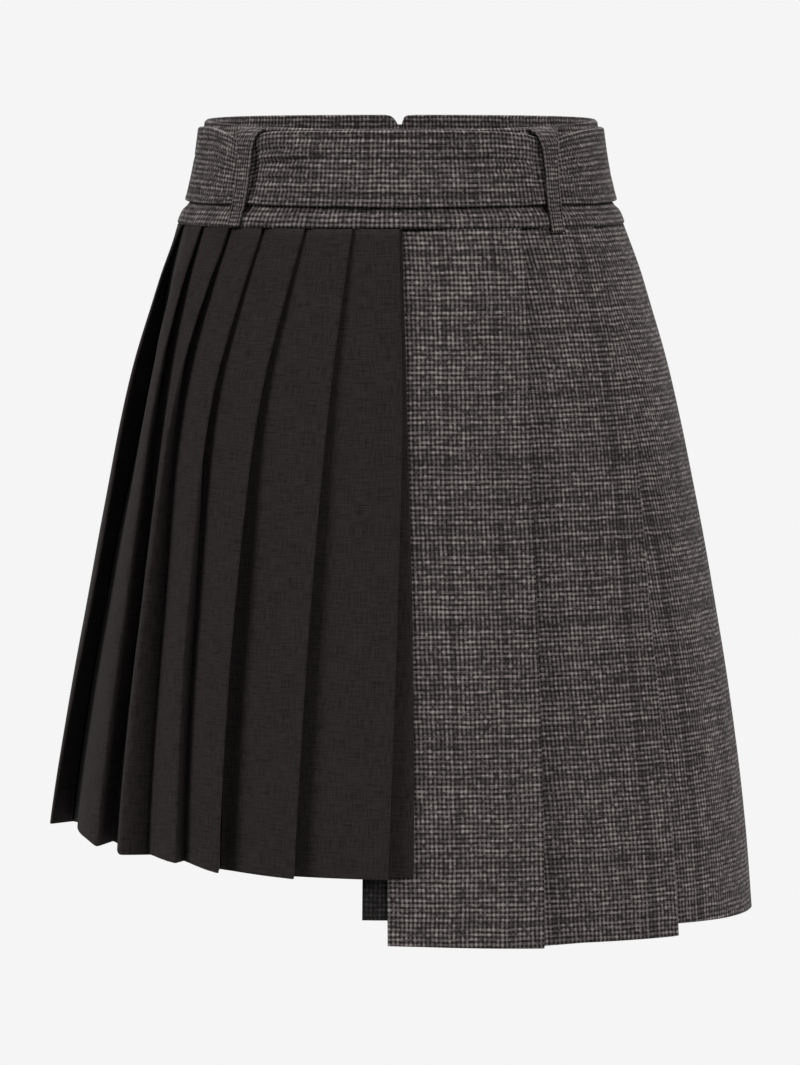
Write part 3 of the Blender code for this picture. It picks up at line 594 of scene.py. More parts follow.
def round_folds(points, turns, owners, radius):
    """Each fold station becomes an arc that leaves a layer's space between its two sides."""
    parts = []
    owner = []
    tops = []
    for i in range(points.shape[1]):
        if not turns[i]:
            parts.append(points[:, i:i + 1])
            owner.append(owners[i])
            continue
        before = points[:, i] - points[:, i - 1]
        after = points[:, i + 1] - points[:, i]
        a0 = np.arctan2(before[:, 1], before[:, 0])
        a1 = np.arctan2(after[:, 1], after[:, 0])
        sweep = turns[i] * np.mod(turns[i] * (a1 - a0), 2 * math.pi)
        first = a0 - turns[i] * math.pi / 2
        size = radius * np.clip((np.abs(sweep) - OPEN_FOLD) / (CLOSED_FOLD - OPEN_FOLD), 0, 1)
        if turns[i] > 0:
            tops.append(len(parts) + FOLD_POINTS // 2)
        for k in range(FOLD_POINTS):
            at = first + sweep * k / (FOLD_POINTS - 1)
            arc = points[:, i].copy()
            arc[:, 0] += size * np.cos(at)
            arc[:, 1] += size * np.sin(at)
            parts.append(arc[:, None])
            inside = turns[i] < 0 and k >= FOLD_POINTS // 2
            owner.append(owners[i] + (1 if inside else 0))
    return np.concatenate(parts, axis=1), np.array(owner), tops


def soften(line, top, shares):
    """Round a standing fold off over the cloth to each side of its edge, more where shares is 1."""
    near = np.arange(top - SOFT_BEFORE, top + SOFT_AFTER + 1)
    fade = np.sin(np.linspace(0.12, 0.88, len(near)) * math.pi)
    weight = (fade[None, :] * shares[:, None] * 0.5)[..., None]
    for _ in range(SOFT_ROUNDS):
        beside = (line[:, near - 1] + line[:, near + 1]) / 2
        line[:, near] += (beside - line[:, near]) * weight


def grain_of(line, run, owner):
    """u from the fold edge that each face ends at, v down the cloth, for both sides of the wall."""
    base = np.zeros((len(line), owner.max() + 1))
    for k in range(owner.max() + 1):
        mine = np.flatnonzero(owner == k)
        edge = mine[-1] if k == owner.max() else mine[np.argmax(turn_round(line, mine))]
        base[:, k] = run[:, edge] - FACE_SHIFT * k
    low = run[:, :-1] - base[:, owner[:-1]]
    high = run[:, 1:] - base[:, owner[:-1]]
    first, last = (run[:, at] - base[:, owner[at]] for at in ([0], [-1]))
    us = np.concatenate([
        np.stack([low, high], -1), np.stack([last, last], -1),
        np.stack([high[:, ::-1], low[:, ::-1]], -1), np.stack([first, first], -1),
    ], axis=1)
    v = -line[..., 2] * FALL_GRAIN
    return us, there_and_back(v, v)


def turn_round(line, mine):
    """How far round the figure each of a face's points lies at the middle level."""
    mid = line[len(line) // 2, mine]
    return np.unwrap(np.arctan2(mid[:, 0], -mid[:, 1]))


PANELS = table(
    Panel, ("pleats_front", DARK_FRONT, dark_front_ends, DARK_HEM, LIFT_DARK, 1, None),
    ("pleats_back", DARK_BACK, dark_back_ends, DARK_HEM, LIFT_DARK, 1, None),
    ("check_front", CHECK_FRONT, check_front_ends, CHECK_HEM, LIFT_CHECK, 1.2, FRONT_FLAT),
    ("check_back", CHECK_BACK, check_back_ends, CHECK_HEM, LIFT_CHECK, 1.2, None),
)


# ---- bands ---------------------------------------------------------------------------------------
Band = namedtuple("Band", "inner outer creases rows width turn_in")
WAISTBAND = Band(BAND_IN, BAND_OUT, BAND_CREASES, 34, None, SEAM_ALLOWANCE)
SASH = Band(BELT_IN, BELT_OUT, BELT_CREASES, 52, BELT_WIDTH, 0.0)
BAND_EDGE = 0.55        # the edge of a band is rounded over this share of its thickness
BAND_ROLL = 0.42        # and rolls in by this share of it
BAND_FADE = 1.2         # mm from its edge over which its creases begin
ROW_CROWD = 0.4         # share by which its rows crowd to its edges


def band_top(angle):
    """Drop of the waistband's top edge in cm: lower at the front, with a V notch at the centre back."""
    drop = BAND_SINK * ((1 + np.cos(np.radians(angle))) / 2) ** 2
    away = 180 - np.abs(angle)
    left, right = (straight(notch, "away", "drop", away) for notch in (NOTCH_LEFT, NOTCH_RIGHT))
    return drop + np.where(away < NOTCH_LEFT[-1].away, np.where(angle < 0, left, right), 0.0)


def band_piece(name, band, angles, top, foot, lap, material):
    """A flat band with soft edges, each ring outer face down and inner face up; gives it and its run."""
    thick = band.outer - band.inner
    even = np.linspace(0, 1, band.rows)
    q = (1 - ROW_CROWD) * even + ROW_CROWD * (1 - np.cos(even * math.pi)) / 2
    drops = top[:, None] + (foot - top)[:, None] * q
    edge = np.minimum(q, 1 - q) * ((foot - top) * 10)[:, None]
    soft = np.clip(1 - edge / (thick * BAND_EDGE), 0, 1)
    roll = thick * BAND_ROLL * (1 - np.sqrt(1 - soft ** 2))
    relief = creased(band.creases, angles[:, None], drops * CM) * np.clip(edge / BAND_FADE, 0, 1)
    turned = np.clip((drops - foot[:, None] + ALLOWANCE_DEEP) / ALLOWANCE_DEEP, 0, 1)
    outer = band.outer - roll + np.maximum(relief, DEEPEST) + lap[:, None]
    inner = band.inner + roll + lap[:, None] - band.turn_in * turned
    rings = place(angles[:, None], there_and_back(drops, drops) * CM, there_and_back(outer, inner))
    run = running(np.linalg.norm(np.diff(rings[:, band.rows // 2], axis=0), axis=1))
    us = np.repeat((run - np.interp(0.0, angles, run))[:, None], 2 * band.rows, axis=1)
    v = np.repeat((q * band.width * MM)[None, :], len(angles), axis=0) if band.width else drops * CM
    return shell(name, rings, plain_us(us), there_and_back(v, v), material), float(run[-1])


# ---- colours and materials -----------------------------------------------------------------------
MATH = "ShaderNodeMath"
# Pattern sizes in mm. Real fibres and fine yarns are too thin to show, so those are drawn coarser.
HAIR = 0.6667           # fibres of the brushed wool
STREAK_WIDE = 14.3      # sunk stretches of the wool, across
STREAK_TALL = 1.613     # and down
PATCH = 26.3            # broad cloudiness of the wool
DRIFT_ACROSS = 33.3     # how soon the check's yarns drift sideways, from yarn to yarn
DRIFT_ALONG = 16.7      # and along a yarn
SLUB_ALONG = 2.38       # thick and thin stretches along a check yarn
FINE_YARN = 0.6667      # yarns of the suiting
WARP_SLUB = 10.53       # length of its slubs down the cloth
WEFT_SLUB = 12.5        # and across it
CLOUD = 18.2            # cloudiness of the pressed suiting
TWIST = 0.25            # plies of the thread
MOTTLE = 333.0          # the floor's roller mottle
# Shares of a check yarn's spacing
YARN_CORE = 0.13        # half the width at its full strength
YARN_EDGE = 0.36        # where its soft edge ends
YARN_DRIFT = 0.55       # how far it drifts


def linear(colour):
    """Linear opaque colour of an sRGB hex value."""
    parts = [int(colour[i:i + 2], 16) / 255 for i in (1, 3, 5)]
    return [*(p / 12.92 if p <= 0.04045 else ((p + 0.055) / 1.055) ** 2.4 for p in parts), 1.0]


def add(tree, kind, links=None, out=0, **settings):
    """Add a node with its settings and links, each an output or a plain value; gives one of its outputs."""
    made = tree.nodes.new(kind)
    for key, value in settings.items():
        setattr(made, key, value)
    for key, value in (links or {}).items():
        if isinstance(value, bpy.types.NodeSocket):
            tree.links.new(value, made.inputs[key])
        else:
            made.inputs[key].default_value = value
    return made.outputs[out] if len(made.outputs) else None


def finish(name, draw, *picks):
    """A material by name, drawn in the colours picked by name the first time it is asked for."""
    if name in bpy.data.materials:
        return bpy.data.materials[name]
    made = bpy.data.materials.new(name)
    made.use_nodes = True
    made.node_tree.nodes.clear()
    colours = bpy.context.scene.skirt_colours
    draw(made.node_tree, *(linear(getattr(colours, pick)) for pick in picks))
    return made


def repeats(size):
    """Whole repeats in a metre of a pattern size in millimetres."""
    return float(round(1 / (size * MM)))


def cloth_surface(tree, value, dark, light, height, strength, depth, roughness, sheen):
    """Two colours mixed by a value over a fine relief, on a dry surface with little sheen."""
    colour = add(tree, "ShaderNodeMix", {0: value, 6: dark, 7: light}, out=2, data_type="RGBA")
    bump = add(tree, "ShaderNodeBump", {"Strength": strength, "Distance": depth, "Height": height})
    shader = add(tree, "ShaderNodeBsdfPrincipled", {
        "Base Color": colour, "Roughness": roughness, "Sheen Weight": sheen, "Sheen Roughness": 0.45,
        "Specular IOR Level": 0.12, "Normal": bump})
    add(tree, "ShaderNodeOutputMaterial", {"Surface": shader})


def streaks(tree, ways, seed, detail):
    """Noise drawn out along two coordinates, each with its own scale."""
    x, y = (add(tree, MATH, {0: way, 1: scale}, operation="MULTIPLY") for way, scale in ways)
    at = add(tree, "ShaderNodeCombineXYZ", {0: x, 1: y, 2: seed})
    return add(tree, "ShaderNodeTexNoise", {"Vector": at, "Scale": 1.0, "Detail": detail})


def uneven(tree, value, *fields):
    """A value made uneven: each field, spread from its own range to a least and a most, multiplies it."""
    for field, low, high, least, most in fields:
        share = add(tree, "ShaderNodeMapRange", {0: field, 1: low, 2: high, 3: least, 4: most})
        value = add(tree, MATH, {0: value, 1: share}, operation="MULTIPLY")
    return value


def yarn_lines(tree, across, along, spacing, seed, least, missing):
    """Lighter yarns a spacing apart: each has its own strength, slubs along it and a soft edge."""
    drift = streaks(tree, ((across, repeats(DRIFT_ACROSS)), (along, repeats(DRIFT_ALONG))), seed, 2.0)
    wander = add(tree, MATH, {0: drift, 1: YARN_DRIFT, 2: -0.27}, operation="MULTIPLY_ADD")
    at = add(tree, MATH, {0: across, 1: 1.0 / spacing, 2: wander}, operation="MULTIPLY_ADD")
    number = add(tree, MATH, {0: at}, operation="ROUND")
    off = add(tree, MATH, {0: at, 1: number}, operation="SUBTRACT")
    away = add(tree, MATH, {0: off}, operation="ABSOLUTE")
    line = add(tree, "ShaderNodeMapRange", {0: away, 1: YARN_CORE, 2: YARN_EDGE, 3: 1.0, 4: 0.0},
               interpolation_type="SMOOTHSTEP")
    own = add(tree, MATH, {0: number, 1: seed + 0.5}, operation="ADD")
    draw = add(tree, "ShaderNodeTexWhiteNoise", {"W": own}, noise_dimensions="1D")
    slub = streaks(tree, ((number, 2.7), (along, repeats(SLUB_ALONG))), seed + 9.0, 2.5)
    return uneven(tree, line, (draw, 0.0, 0.85, least, 1.0), (draw, missing, missing + 0.02, 0.5, 1.0),
                  (slub, 0.3, 0.7, 0.1, 1.45)), number


def weave_check(tree, dark, light):
    """Woven wool-blend check, milled and brushed: a dry, slightly hairy face with pale and near-black yarns.
    On the underlap it is drawn in much darker colours, painted shade for the shadow that piece lies in, so it
    reads almost black."""
    sizes = bpy.context.scene.skirt_sizes
    grain = add(tree, "ShaderNodeUVMap", uv_map=GRAIN)
    u = add(tree, "ShaderNodeSeparateXYZ", {0: grain})
    v = u.node.outputs[1]
    warp, warp_number = yarn_lines(tree, u, v, sizes.check_across, seed=3.0, least=0.66, missing=0.05)
    weft, weft_number = yarn_lines(tree, v, u, sizes.check_down, seed=41.0, least=0.72, missing=0.13)
    both = add(tree, MATH, {0: warp, 1: weft}, operation="ADD")
    cross = add(tree, MATH, {0: warp, 1: weft}, operation="MULTIPLY")
    value = add(tree, MATH, {0: both, 1: 0.44}, operation="MULTIPLY")
    value = add(tree, MATH, {0: cross, 1: 0.22, 2: value}, operation="MULTIPLY_ADD")
    crossing = add(tree, "ShaderNodeCombineXYZ", {0: warp_number, 1: weft_number})
    cell = add(tree, "ShaderNodeTexWhiteNoise", {"Vector": crossing}, noise_dimensions="2D")
    drawn = add(tree, "ShaderNodeMapping", {
        "Vector": grain, "Scale": (repeats(STREAK_WIDE), repeats(STREAK_TALL), 1.0)})
    streak = add(tree, "ShaderNodeTexNoise", {"Vector": drawn, "Scale": 1.0, "Detail": 2.0})
    hair = add(tree, "ShaderNodeTexNoise", {
        "Vector": grain, "Scale": repeats(HAIR), "Detail": 3.0, "Roughness": 0.7})
    patch = add(tree, "ShaderNodeTexNoise", {"Vector": grain, "Scale": repeats(PATCH), "Detail": 2.0})
    value = uneven(tree, value, (cell, 0.0, 1.0, 0.72, 1.28), (streak, 0.36, 0.62, 0.5, 1.15),
                   (hair, 0.3, 0.7, 0.72, 1.28), (patch, 0.3, 0.7, 0.9, 1.1))
    relief = add(tree, MATH, {0: hair, 1: 0.6, 2: both}, operation="MULTIPLY_ADD")
    cloth_surface(tree, value, dark, light, relief, strength=0.35, depth=0.3 * MM, roughness=0.92, sheen=0.06)


def weave_slub(tree, dark, light):
    """Plain-woven viscose-linen look suiting, pressed: flat near-black brown, fine thick-and-thin yarns."""
    grain = add(tree, "ShaderNodeUVMap", uv_map=GRAIN)
    layers = []
    for across, down, seed in ((FINE_YARN, WARP_SLUB, 5.0), (WEFT_SLUB, FINE_YARN, 17.0)):
        drawn = add(tree, "ShaderNodeMapping", {
            "Vector": grain, "Location": (seed, seed * 2, 0.0),
            "Scale": (repeats(across), repeats(down), 1.0)})
        layers.append(add(tree, "ShaderNodeTexNoise", {
            "Vector": drawn, "Scale": 1.0, "Detail": 2.0, "Roughness": 0.6}))
    both = add(tree, MATH, {0: layers[0], 1: layers[1]}, operation="ADD")
    value = add(tree, "ShaderNodeMapRange", {0: both, 1: 0.78, 2: 1.22, 3: -0.1, 4: 1.1})
    cloud = add(tree, "ShaderNodeTexNoise", {"Vector": grain, "Scale": repeats(CLOUD), "Detail": 3.0})
    value = add(tree, MATH, {0: cloud, 1: 0.35, 2: value}, operation="MULTIPLY_ADD")
    cloth_surface(tree, value, dark, light, both, strength=0.25, depth=0.15 * MM, roughness=0.88, sheen=0.04)


def twist_thread(tree, dark, light):
    """Spun polyester sewing thread: matt twisted fibre, a shade lighter than the dark yarns."""
    at = add(tree, "ShaderNodeTexCoord", out="Object")
    twist = add(tree, "ShaderNodeTexNoise", {"Vector": at, "Scale": repeats(TWIST), "Detail": 2.0})
    cloth_surface(tree, twist, dark, light, twist, strength=0.3, depth=0.1 * MM, roughness=0.7, sheen=0.05)


def roll_floor(tree, tone):
    """Matt painted studio floor: even and pale, with a faint roller mottle."""
    at = add(tree, "ShaderNodeTexCoord", out="Object")
    mottle = add(tree, "ShaderNodeTexNoise", {"Vector": at, "Scale": repeats(MOTTLE), "Detail": 2.0})
    paler = [min(1.0, part * 1.004) for part in tone]
    colour = add(tree, "ShaderNodeMix", {0: mottle, 6: tone, 7: paler}, out=2, data_type="RGBA")
    shader = add(tree, "ShaderNodeBsdfPrincipled", {
        "Base Color": colour, "Roughness": 1.0, "Specular IOR Level": 0.0})
    add(tree, "ShaderNodeOutputMaterial", {"Surface": shader})


def wool_check():
    return finish("woven_wool_check", weave_check, "check_dark", "check_light")


# ---- sizes and colours a user would change -------------------------------------------------------
def length_field(name, description, default):
    return bpy.props.FloatProperty(
        name=name, description=description, default=default, unit="LENGTH", subtype="DISTANCE", precision=5)


def colour_field(name, description, default):
    return bpy.props.StringProperty(
        name=name, description="sRGB hex colour of " + description, default=default)


class SkirtSizes(bpy.types.PropertyGroup):
    pleat_wall: bpy.props.FloatProperty(
        name="Pleat cloth", description="Thickness of the dark pleated cloth in mm",
        default=0.8, min=0.3, max=1.2)
    check_wall: bpy.props.FloatProperty(
        name="Check cloth", description="Thickness of the wool check in mm",
        default=1.0, min=0.4, max=1.4)
    check_across: length_field("Check across", "Distance between pale yarns across the cloth", 0.0026)
    check_down: length_field("Check down", "Distance between pale yarns down the cloth", 0.0030)
    stitch_length: length_field("Stitch", "Length of an edge stitch on the belt loops", 0.0019)
    stitch_gap: length_field("Stitch gap", "Gap between two edge stitches", 0.0007)
    thread_width: length_field("Thread", "Width of the sewing thread", 0.0005)
    floor_radius: length_field("Floor radius", "Half-width of the round floor", 1.4)
    floor_drop: length_field("Floor", "Drop from the waist to the floor a wearer stands on", 1.02)


class SkirtColours(bpy.types.PropertyGroup):
    check_light: colour_field("Pale yarn", "the pale check yarns", "#817978")
    check_dark: colour_field("Dark yarn", "the dark check yarns", "#110e0d")
    # The underlap's colours: the check yarns made far darker, painted shade for the shadow it lies in under
    # the pleated front.
    reverse_light: colour_field("Reverse pale yarn", "pale yarns on the wrong side", "#2c2a29")
    reverse_dark: colour_field("Reverse dark yarn", "dark yarns on the wrong side", "#080707")
    pleat_dark: colour_field("Pleat cloth", "the dark cloth's thin yarns", "#110e0d")
    pleat_light: colour_field("Pleat slub", "the dark cloth's thick yarns", "#25201f")
    thread: colour_field("Thread", "the sewing thread", "#8f8883")
    floor: colour_field("Floor", "the studio floor", "#bebebe")


# ---- pieces --------------------------------------------------------------------------------------
def settle(piece, node):
    """The piece rides on the one body and stands for its solid, which it hides."""
    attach(piece, "root")
    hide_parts(node)


class SKIRT_OT_pleated_panels(bpy.types.Operator):
    """Make the two knife-pleated panels of dark cloth"""
    bl_idname = "skirt.pleated_panels"
    bl_label = "Pleated panels"

    def execute(self, context):
        suiting = finish("slub_suiting", weave_slub, "pleat_dark", "pleat_light")
        for panel in PANELS[:2]:
            piece, flat, area = folded_panel(panel, context.scene.skirt_sizes.pleat_wall, suiting)
            settle(piece, panel.node)
        return {"FINISHED"}


class SKIRT_OT_check_panels(bpy.types.Operator):
    """Make the two wide-pleated check panels and the underlap at the front edge"""
    bl_idname = "skirt.check_panels"
    bl_label = "Check panels"

    def execute(self, context):
        wall = context.scene.skirt_sizes.check_wall
        for panel in PANELS[2:]:
            piece, flat, area = folded_panel(panel, wall, wool_check())
            settle(piece, panel.node)
        # The underlap takes a darkened copy of the check material: painted shade, not a different cloth.
        painted_shade_check = finish("woven_wool_check_reverse", weave_check, "reverse_dark", "reverse_light")
        piece, flat = underlap(wall, painted_shade_check)
        settle(piece, "check_underlap")
        return {"FINISHED"}


Part = namedtuple("Part", "node first last")
BAND_PARTS = table(
    Part, ("waistband_front_left", -90, 0), ("waistband_front_right", 0, 90),
    ("waistband_back_left", -180, -90), ("waistband_back_right", 90, 180),
)


class SKIRT_OT_waistband(bpy.types.Operator):
    """Make the four parts of the waistband, notched at the centre back"""
    bl_idname = "skirt.waistband"
    bl_label = "Waistband"

    def execute(self, context):
        for part in BAND_PARTS:
            angles = np.linspace(part.first + SEAM_TOUCH, part.last - SEAM_TOUCH, BAND_POINTS)
            near = np.minimum(angles - part.first, part.last - angles)
            dip = -SEAM_DIP * np.exp(-((near / SEAM_DIP_WIDE) ** 2))
            foot = np.full(BAND_POINTS, SEAM_FOOT)
            piece, run = band_piece(
                part.node + "_cloth", WAISTBAND, angles, band_top(angles), foot, dip, wool_check())
            settle(piece, part.node)
            sewn = [loop.name + "_cloth" for loop in LOOPS if part.first < loop.angle_top < part.last]
            if part.node == "waistband_front_left":
                sewn.append("edge_stitches")
        return {"FINISHED"}


class SKIRT_OT_sash_belt(bpy.types.Operator):
    """Make the soft sash belt with its long creases and its lap at the back"""
    bl_idname = "skirt.sash_belt"
    bl_label = "Sash belt"

    def execute(self, context):
        angles = np.linspace(*BELT_ENDS, BELT_POINTS)
        top = soft_curve(column(BELT_TOP, "angle"), column(BELT_TOP, "drop"), angles)
        foot = soft_curve(column(BELT_BOTTOM, "angle"), column(BELT_BOTTOM, "drop"), np.abs(angles))
        lap = BELT_LAP * np.clip((-angles - LAP_START) / LAP_CLIMB, 0, 1)
        piece, run = band_piece("sash_belt_cloth", SASH, angles, top, foot, lap, wool_check())
        settle(piece, "sash_belt")
        return {"FINISHED"}


def loop_line(loop):
    """Smooth drops (cm) and outs (mm) along a belt loop's middle line."""
    path = loop.path[:-1] + [Run(loop.foot, loop.path[-1].out)]
    drops = column(path, "drop")
    outs = column(path, "out")
    run = running(np.hypot(np.diff(drops) * 10, np.diff(outs)))
    at = np.linspace(0, run[-1], LOOP_POINTS)
    return soft_curve(run, drops, at), soft_curve(run, outs, at), at


def loop_points(loop, drops, outs, across, lift):
    """Points across a loop (mm from its middle) and lift millimetres off its middle line, and their grain."""
    down = np.gradient(drops * 10)
    away = np.gradient(outs)
    size = np.hypot(down, away)
    share = (drops - drops[0]) / (drops[-1] - drops[0])
    angle = mix(loop.angle_top, loop.angle_foot, 1 - (1 - share) ** loop.bow)
    wide = np.array([degrees_for(1.0, a, d * CM) for a, d in zip(angle, drops)])
    inner = -math.copysign(1.0, loop.angle_top)
    edge = GROOVE_IN - 2 * GROOVE_DIP
    share_in, share_out = (np.clip(way * across * inner / edge, 0, 1) for way in (1, -1))
    spread = LOOP_FLARE * share_in - LOOP_FLARE_OUT * share_out
    fade = np.exp(-share / FLARE_FADE)[:, None]
    width = across[None, :] + inner * spread[None, :] * fade
    grain = (inner * width - LOOP_FLARE * fade) * LOOP_GRAIN
    deep = drops[:, None] - (away / size)[:, None] * lift[None, :] / 10
    out = outs[:, None] + (down / size)[:, None] * lift[None, :]
    turn = angle[:, None] + wide[:, None] * width
    return place(turn, deep * CM, out), grain


def loop_outline():
    """Outline of the folded strip: round edges, pressed in a little along its two stitch lines."""
    half = LOOP_WIDTH / 2
    thick = LOOP_WALL / 2
    across = np.linspace(-half + thick, half - thick, LOOP_FACE)
    dip = GROOVE_DIP * np.exp(-((np.abs(across) - GROOVE_IN) / GROOVE_WIDE) ** 2)
    face = np.stack([across, thick - dip], -1)
    turn = np.radians(np.linspace(60, -60, 5))
    edge = np.stack([half - thick + np.cos(turn) * thick, np.sin(turn) * thick], -1)
    back = np.stack([across[::-1], np.full(len(across), -thick)], -1)
    return np.concatenate([face, edge, back, -edge])


class SKIRT_OT_belt_loops(bpy.types.Operator):
    """Make the four belt loops"""
    bl_idname = "skirt.belt_loops"
    bl_label = "Belt loops"

    def execute(self, context):
        outline = loop_outline()
        for loop in LOOPS:
            drops, outs, run = loop_line(loop)
            rings, grain = loop_points(loop, drops, outs, outline[:, 0], outline[:, 1])
            us = grain * MM + context.scene.skirt_sizes.check_across / 2
            vs = np.repeat(run[:, None] * MM * LOOP_GRAIN_DOWN, len(outline), axis=1)
            piece = shell(loop.name + "_cloth", rings, plain_us(us), vs, wool_check())
            settle(piece, loop.name)
        return {"FINISHED"}


def stitch_nodes(material, sizes):
    """Geometry nodes that lay round-ended stitches along every edge path, one joined mesh."""
    tree = bpy.data.node_groups.new("edge_stitches", "GeometryNodeTree")
    face = tree.interface
    face.new_socket("Geometry", in_out="INPUT", socket_type="NodeSocketGeometry")
    for name, value in sizes.items():
        face.new_socket(name, in_out="INPUT", socket_type="NodeSocketFloat").default_value = value
    face.new_socket("Geometry", in_out="OUTPUT", socket_type="NodeSocketGeometry")
    paths = add(tree, "NodeGroupInput")
    long, gap, width = (paths.node.outputs[name] for name in sizes)
    curves = add(tree, "GeometryNodeMeshToCurve", {0: paths})
    pitch = add(tree, MATH, {0: long, 1: gap}, operation="ADD")
    spaced = add(tree, "GeometryNodeResampleCurve", {"Curve": curves, "Length": pitch}, mode="LENGTH")
    way = add(tree, "GeometryNodeInputTangent")
    turn = add(tree, "FunctionNodeAlignRotationToVector", {"Vector": way}, axis="Z")
    turned = add(tree, "GeometryNodeStoreNamedAttribute", {"Geometry": spaced, "Name": "way", "Value": turn},
                 data_type="QUATERNION", domain="POINT")
    points = add(tree, "GeometryNodeCurveToPoints", {"Curve": turned}, mode="EVALUATED")
    ball = add(tree, "GeometryNodeMeshUVSphere", {"Segments": 6, "Rings": 6, "Radius": 0.5})
    form = add(tree, "ShaderNodeCombineXYZ", {0: width, 1: width, 2: long})
    named = add(tree, "GeometryNodeInputNamedAttribute", {"Name": "way"}, data_type="QUATERNION")
    laid = add(tree, "GeometryNodeInstanceOnPoints", {
        "Points": points, "Instance": ball, "Rotation": named, "Scale": form})
    real = add(tree, "GeometryNodeRealizeInstances", {0: laid})
    painted = add(tree, "GeometryNodeSetMaterial", {0: real, "Material": material})
    add(tree, "NodeGroupOutput", {0: painted})
    return tree


class SKIRT_OT_stitches(bpy.types.Operator):
    """Lay the edge stitches on the belt loops"""
    bl_idname = "skirt.stitches"
    bl_label = "Edge stitches"

    def execute(self, context):
        thread = finish("spun_polyester_thread", twist_thread, "check_dark", "thread")
        both_sides = np.array([-STITCH_IN, STITCH_IN])
        lift = np.full(2, STITCH_LIFT)
        points = []
        edges = []
        for loop in LOOPS:
            drops, outs, _ = loop_line(loop)
            rows, _ = loop_points(loop, drops, outs, both_sides, lift)
            for side in (0, 1):
                first = len(points)
                points.extend(rows[3:-2, side].tolist())
                edges.extend((i, i + 1) for i in range(first, len(points) - 1))
        mesh = bpy.data.meshes.new("stitch_paths")
        mesh.from_pydata(points, edges, [])
        paths = link_new("stitch_paths", mesh)
        made = paths.modifiers.new("stitches", "NODES")
        sizes = context.scene.skirt_sizes
        values = {
            "Stitch length": sizes.stitch_length, "Gap": sizes.stitch_gap, "Thread width": sizes.thread_width}
        made.node_group = stitch_nodes(thread, values)
        for item in made.node_group.interface.items_tree:
            if item.name in values:
                made[item.identifier] = values[item.name]
        context.view_layer.update()
        graph = context.evaluated_depsgraph_get()
        joined = bpy.data.meshes.new_from_object(paths.evaluated_get(graph))
        if not joined.polygons:
            raise RuntimeError("the edge stitches came out empty")
        joined.name = "edge_stitches"
        joined.shade_smooth()
        paths.modifiers.remove(made)
        bpy.data.objects.remove(paths, do_unlink=True)
        piece = link_new("edge_stitches", joined)
        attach(piece, "root")
        return {"FINISHED"}


# ---- stage ---------------------------------------------------------------------------------------
Lamp = namedtuple("Lamp", "name strength softness height turn")  # W/m2, degrees
LAMPS = table(
    Lamp, ("left_softbox", 3.25, 28, 34, -66), ("right_softbox", 2.95, 28, 34, 58),
    ("back_softbox", 2.4, 50, 40, 172),
)
SKY_STRENGTH = 0.18
BACKDROP = "#f5f5f5"
SENSOR = 36.0                    # mm
PHOTO_TALL = 1065                # pixels, the photograph's height
EYE_PIXELS = 4860                # pixels, the lens's length against that height
EYE_AT = (-0.0006, -3.0, 0.043)  # m
EYE_TILT = 84.29                 # degrees from straight down


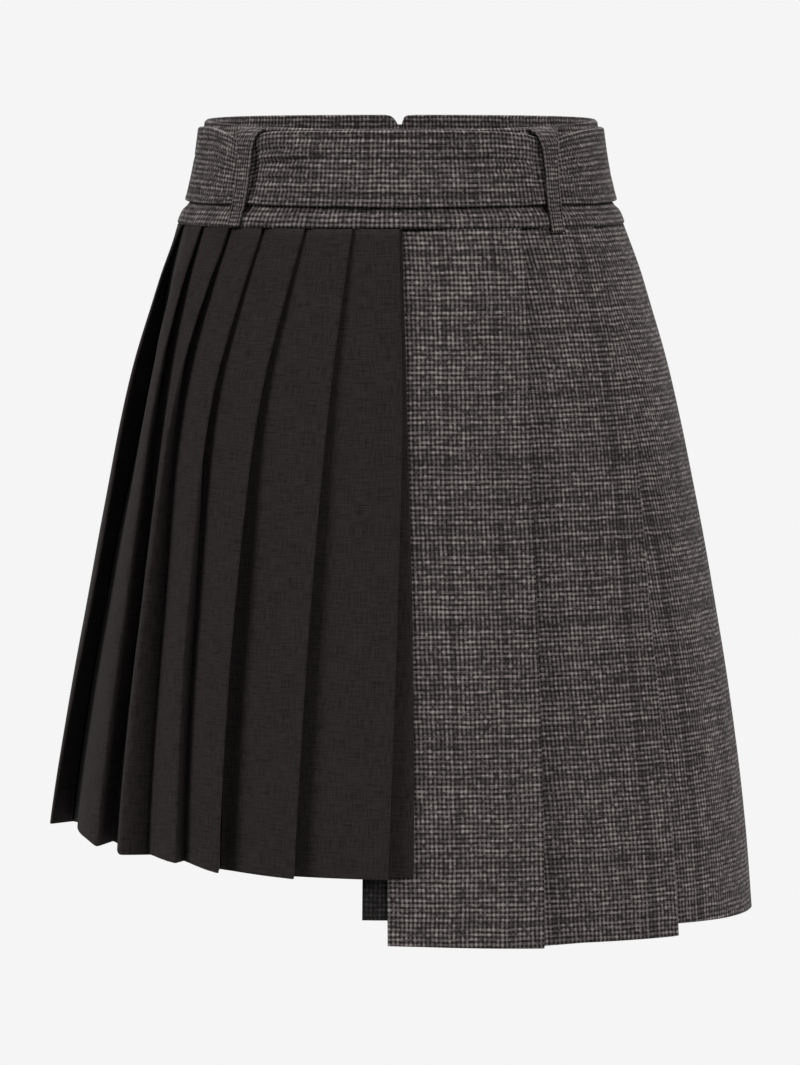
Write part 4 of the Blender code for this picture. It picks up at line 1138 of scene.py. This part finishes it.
class SKIRT_OT_stage(bpy.types.Operator):
    """Set the pale floor, the soft studio light and the camera"""
    bl_idname = "skirt.stage"
    bl_label = "Stage"

    def execute(self, context):
        scene = context.scene
        mesh = bpy.data.meshes.new("studio_floor")
        bm = bmesh.new()
        bmesh.ops.create_circle(bm, cap_ends=True, segments=96, radius=scene.skirt_sizes.floor_radius)
        for vert in bm.verts:
            vert.co.z = -scene.skirt_sizes.floor_drop
        bm.to_mesh(mesh)
        bm.free()
        mesh.materials.append(finish("matt_painted_floor", roll_floor, "floor"))
        floor = link_new("studio_floor", mesh)
        for row in LAMPS:
            lamp = bpy.data.lights.new(row.name, "SUN")
            lamp.energy = row.strength
            lamp.angle = math.radians(row.softness)
            light = link_new(row.name, lamp)
            light.rotation_euler = (math.radians(90 - row.height), 0, math.radians(row.turn))
        scene.world = bpy.data.worlds.new("studio_sky")
        scene.world.use_nodes = True
        tree = scene.world.node_tree
        tree.nodes.clear()
        seen = add(tree, "ShaderNodeBackground", {0: linear(BACKDROP), 1: 1.0})
        lit = add(tree, "ShaderNodeBackground", {0: (1.0, 1.0, 1.0, 1.0), 1: SKY_STRENGTH})
        ray = add(tree, "ShaderNodeLightPath", out="Is Camera Ray")
        both = add(tree, "ShaderNodeMixShader", {0: ray, 1: lit, 2: seen})
        add(tree, "ShaderNodeOutputWorld", {0: both})
        scene.view_settings.view_transform = "Standard"
        eye = bpy.data.cameras.new("camera")
        eye.sensor_width = SENSOR
        eye.lens = EYE_PIXELS * SENSOR / PHOTO_TALL
        scene.camera = link_new("camera", eye)
        scene.camera.location = EYE_AT
        scene.camera.rotation_euler = (math.radians(EYE_TILT), 0, 0)
        return {"FINISHED"}


class SKIRT_PT_panel(bpy.types.Panel):
    """Lists the skirt's pieces, sizes and colours"""
    bl_label = "Pleated skirt"
    bl_idname = "SKIRT_PT_panel"
    bl_space_type = "VIEW_3D"
    bl_region_type = "UI"
    bl_category = "Skirt"

    def draw(self, context):
        for maker in MAKERS:
            self.layout.operator(maker.bl_idname)
        for group in (context.scene.skirt_sizes, context.scene.skirt_colours):
            for name in group.__annotations__:
                self.layout.prop(group, name)


MAKERS = (
    SKIRT_OT_stage, SKIRT_OT_pleated_panels, SKIRT_OT_check_panels, SKIRT_OT_belt_loops, SKIRT_OT_stitches,
    SKIRT_OT_waistband, SKIRT_OT_sash_belt,
)
CLASSES = (SkirtSizes, SkirtColours) + MAKERS + (SKIRT_PT_panel,)


def register():
    for item in CLASSES:
        bpy.utils.register_class(item)
    bpy.types.Scene.skirt_sizes = bpy.props.PointerProperty(type=SkirtSizes)
    bpy.types.Scene.skirt_colours = bpy.props.PointerProperty(type=SkirtColours)


def unregister():
    del bpy.types.Scene.skirt_sizes
    del bpy.types.Scene.skirt_colours
    for item in CLASSES[::-1]:
        bpy.utils.unregister_class(item)


def main():
    register()
    bpy.ops.skirt.stage()
    bpy.ops.skirt.pleated_panels()
    bpy.ops.skirt.check_panels()
    bpy.ops.skirt.belt_loops()
    bpy.ops.skirt.stitches()
    bpy.ops.skirt.waistband()
    bpy.ops.skirt.sash_belt()


if __name__ == "__main__":
    main()
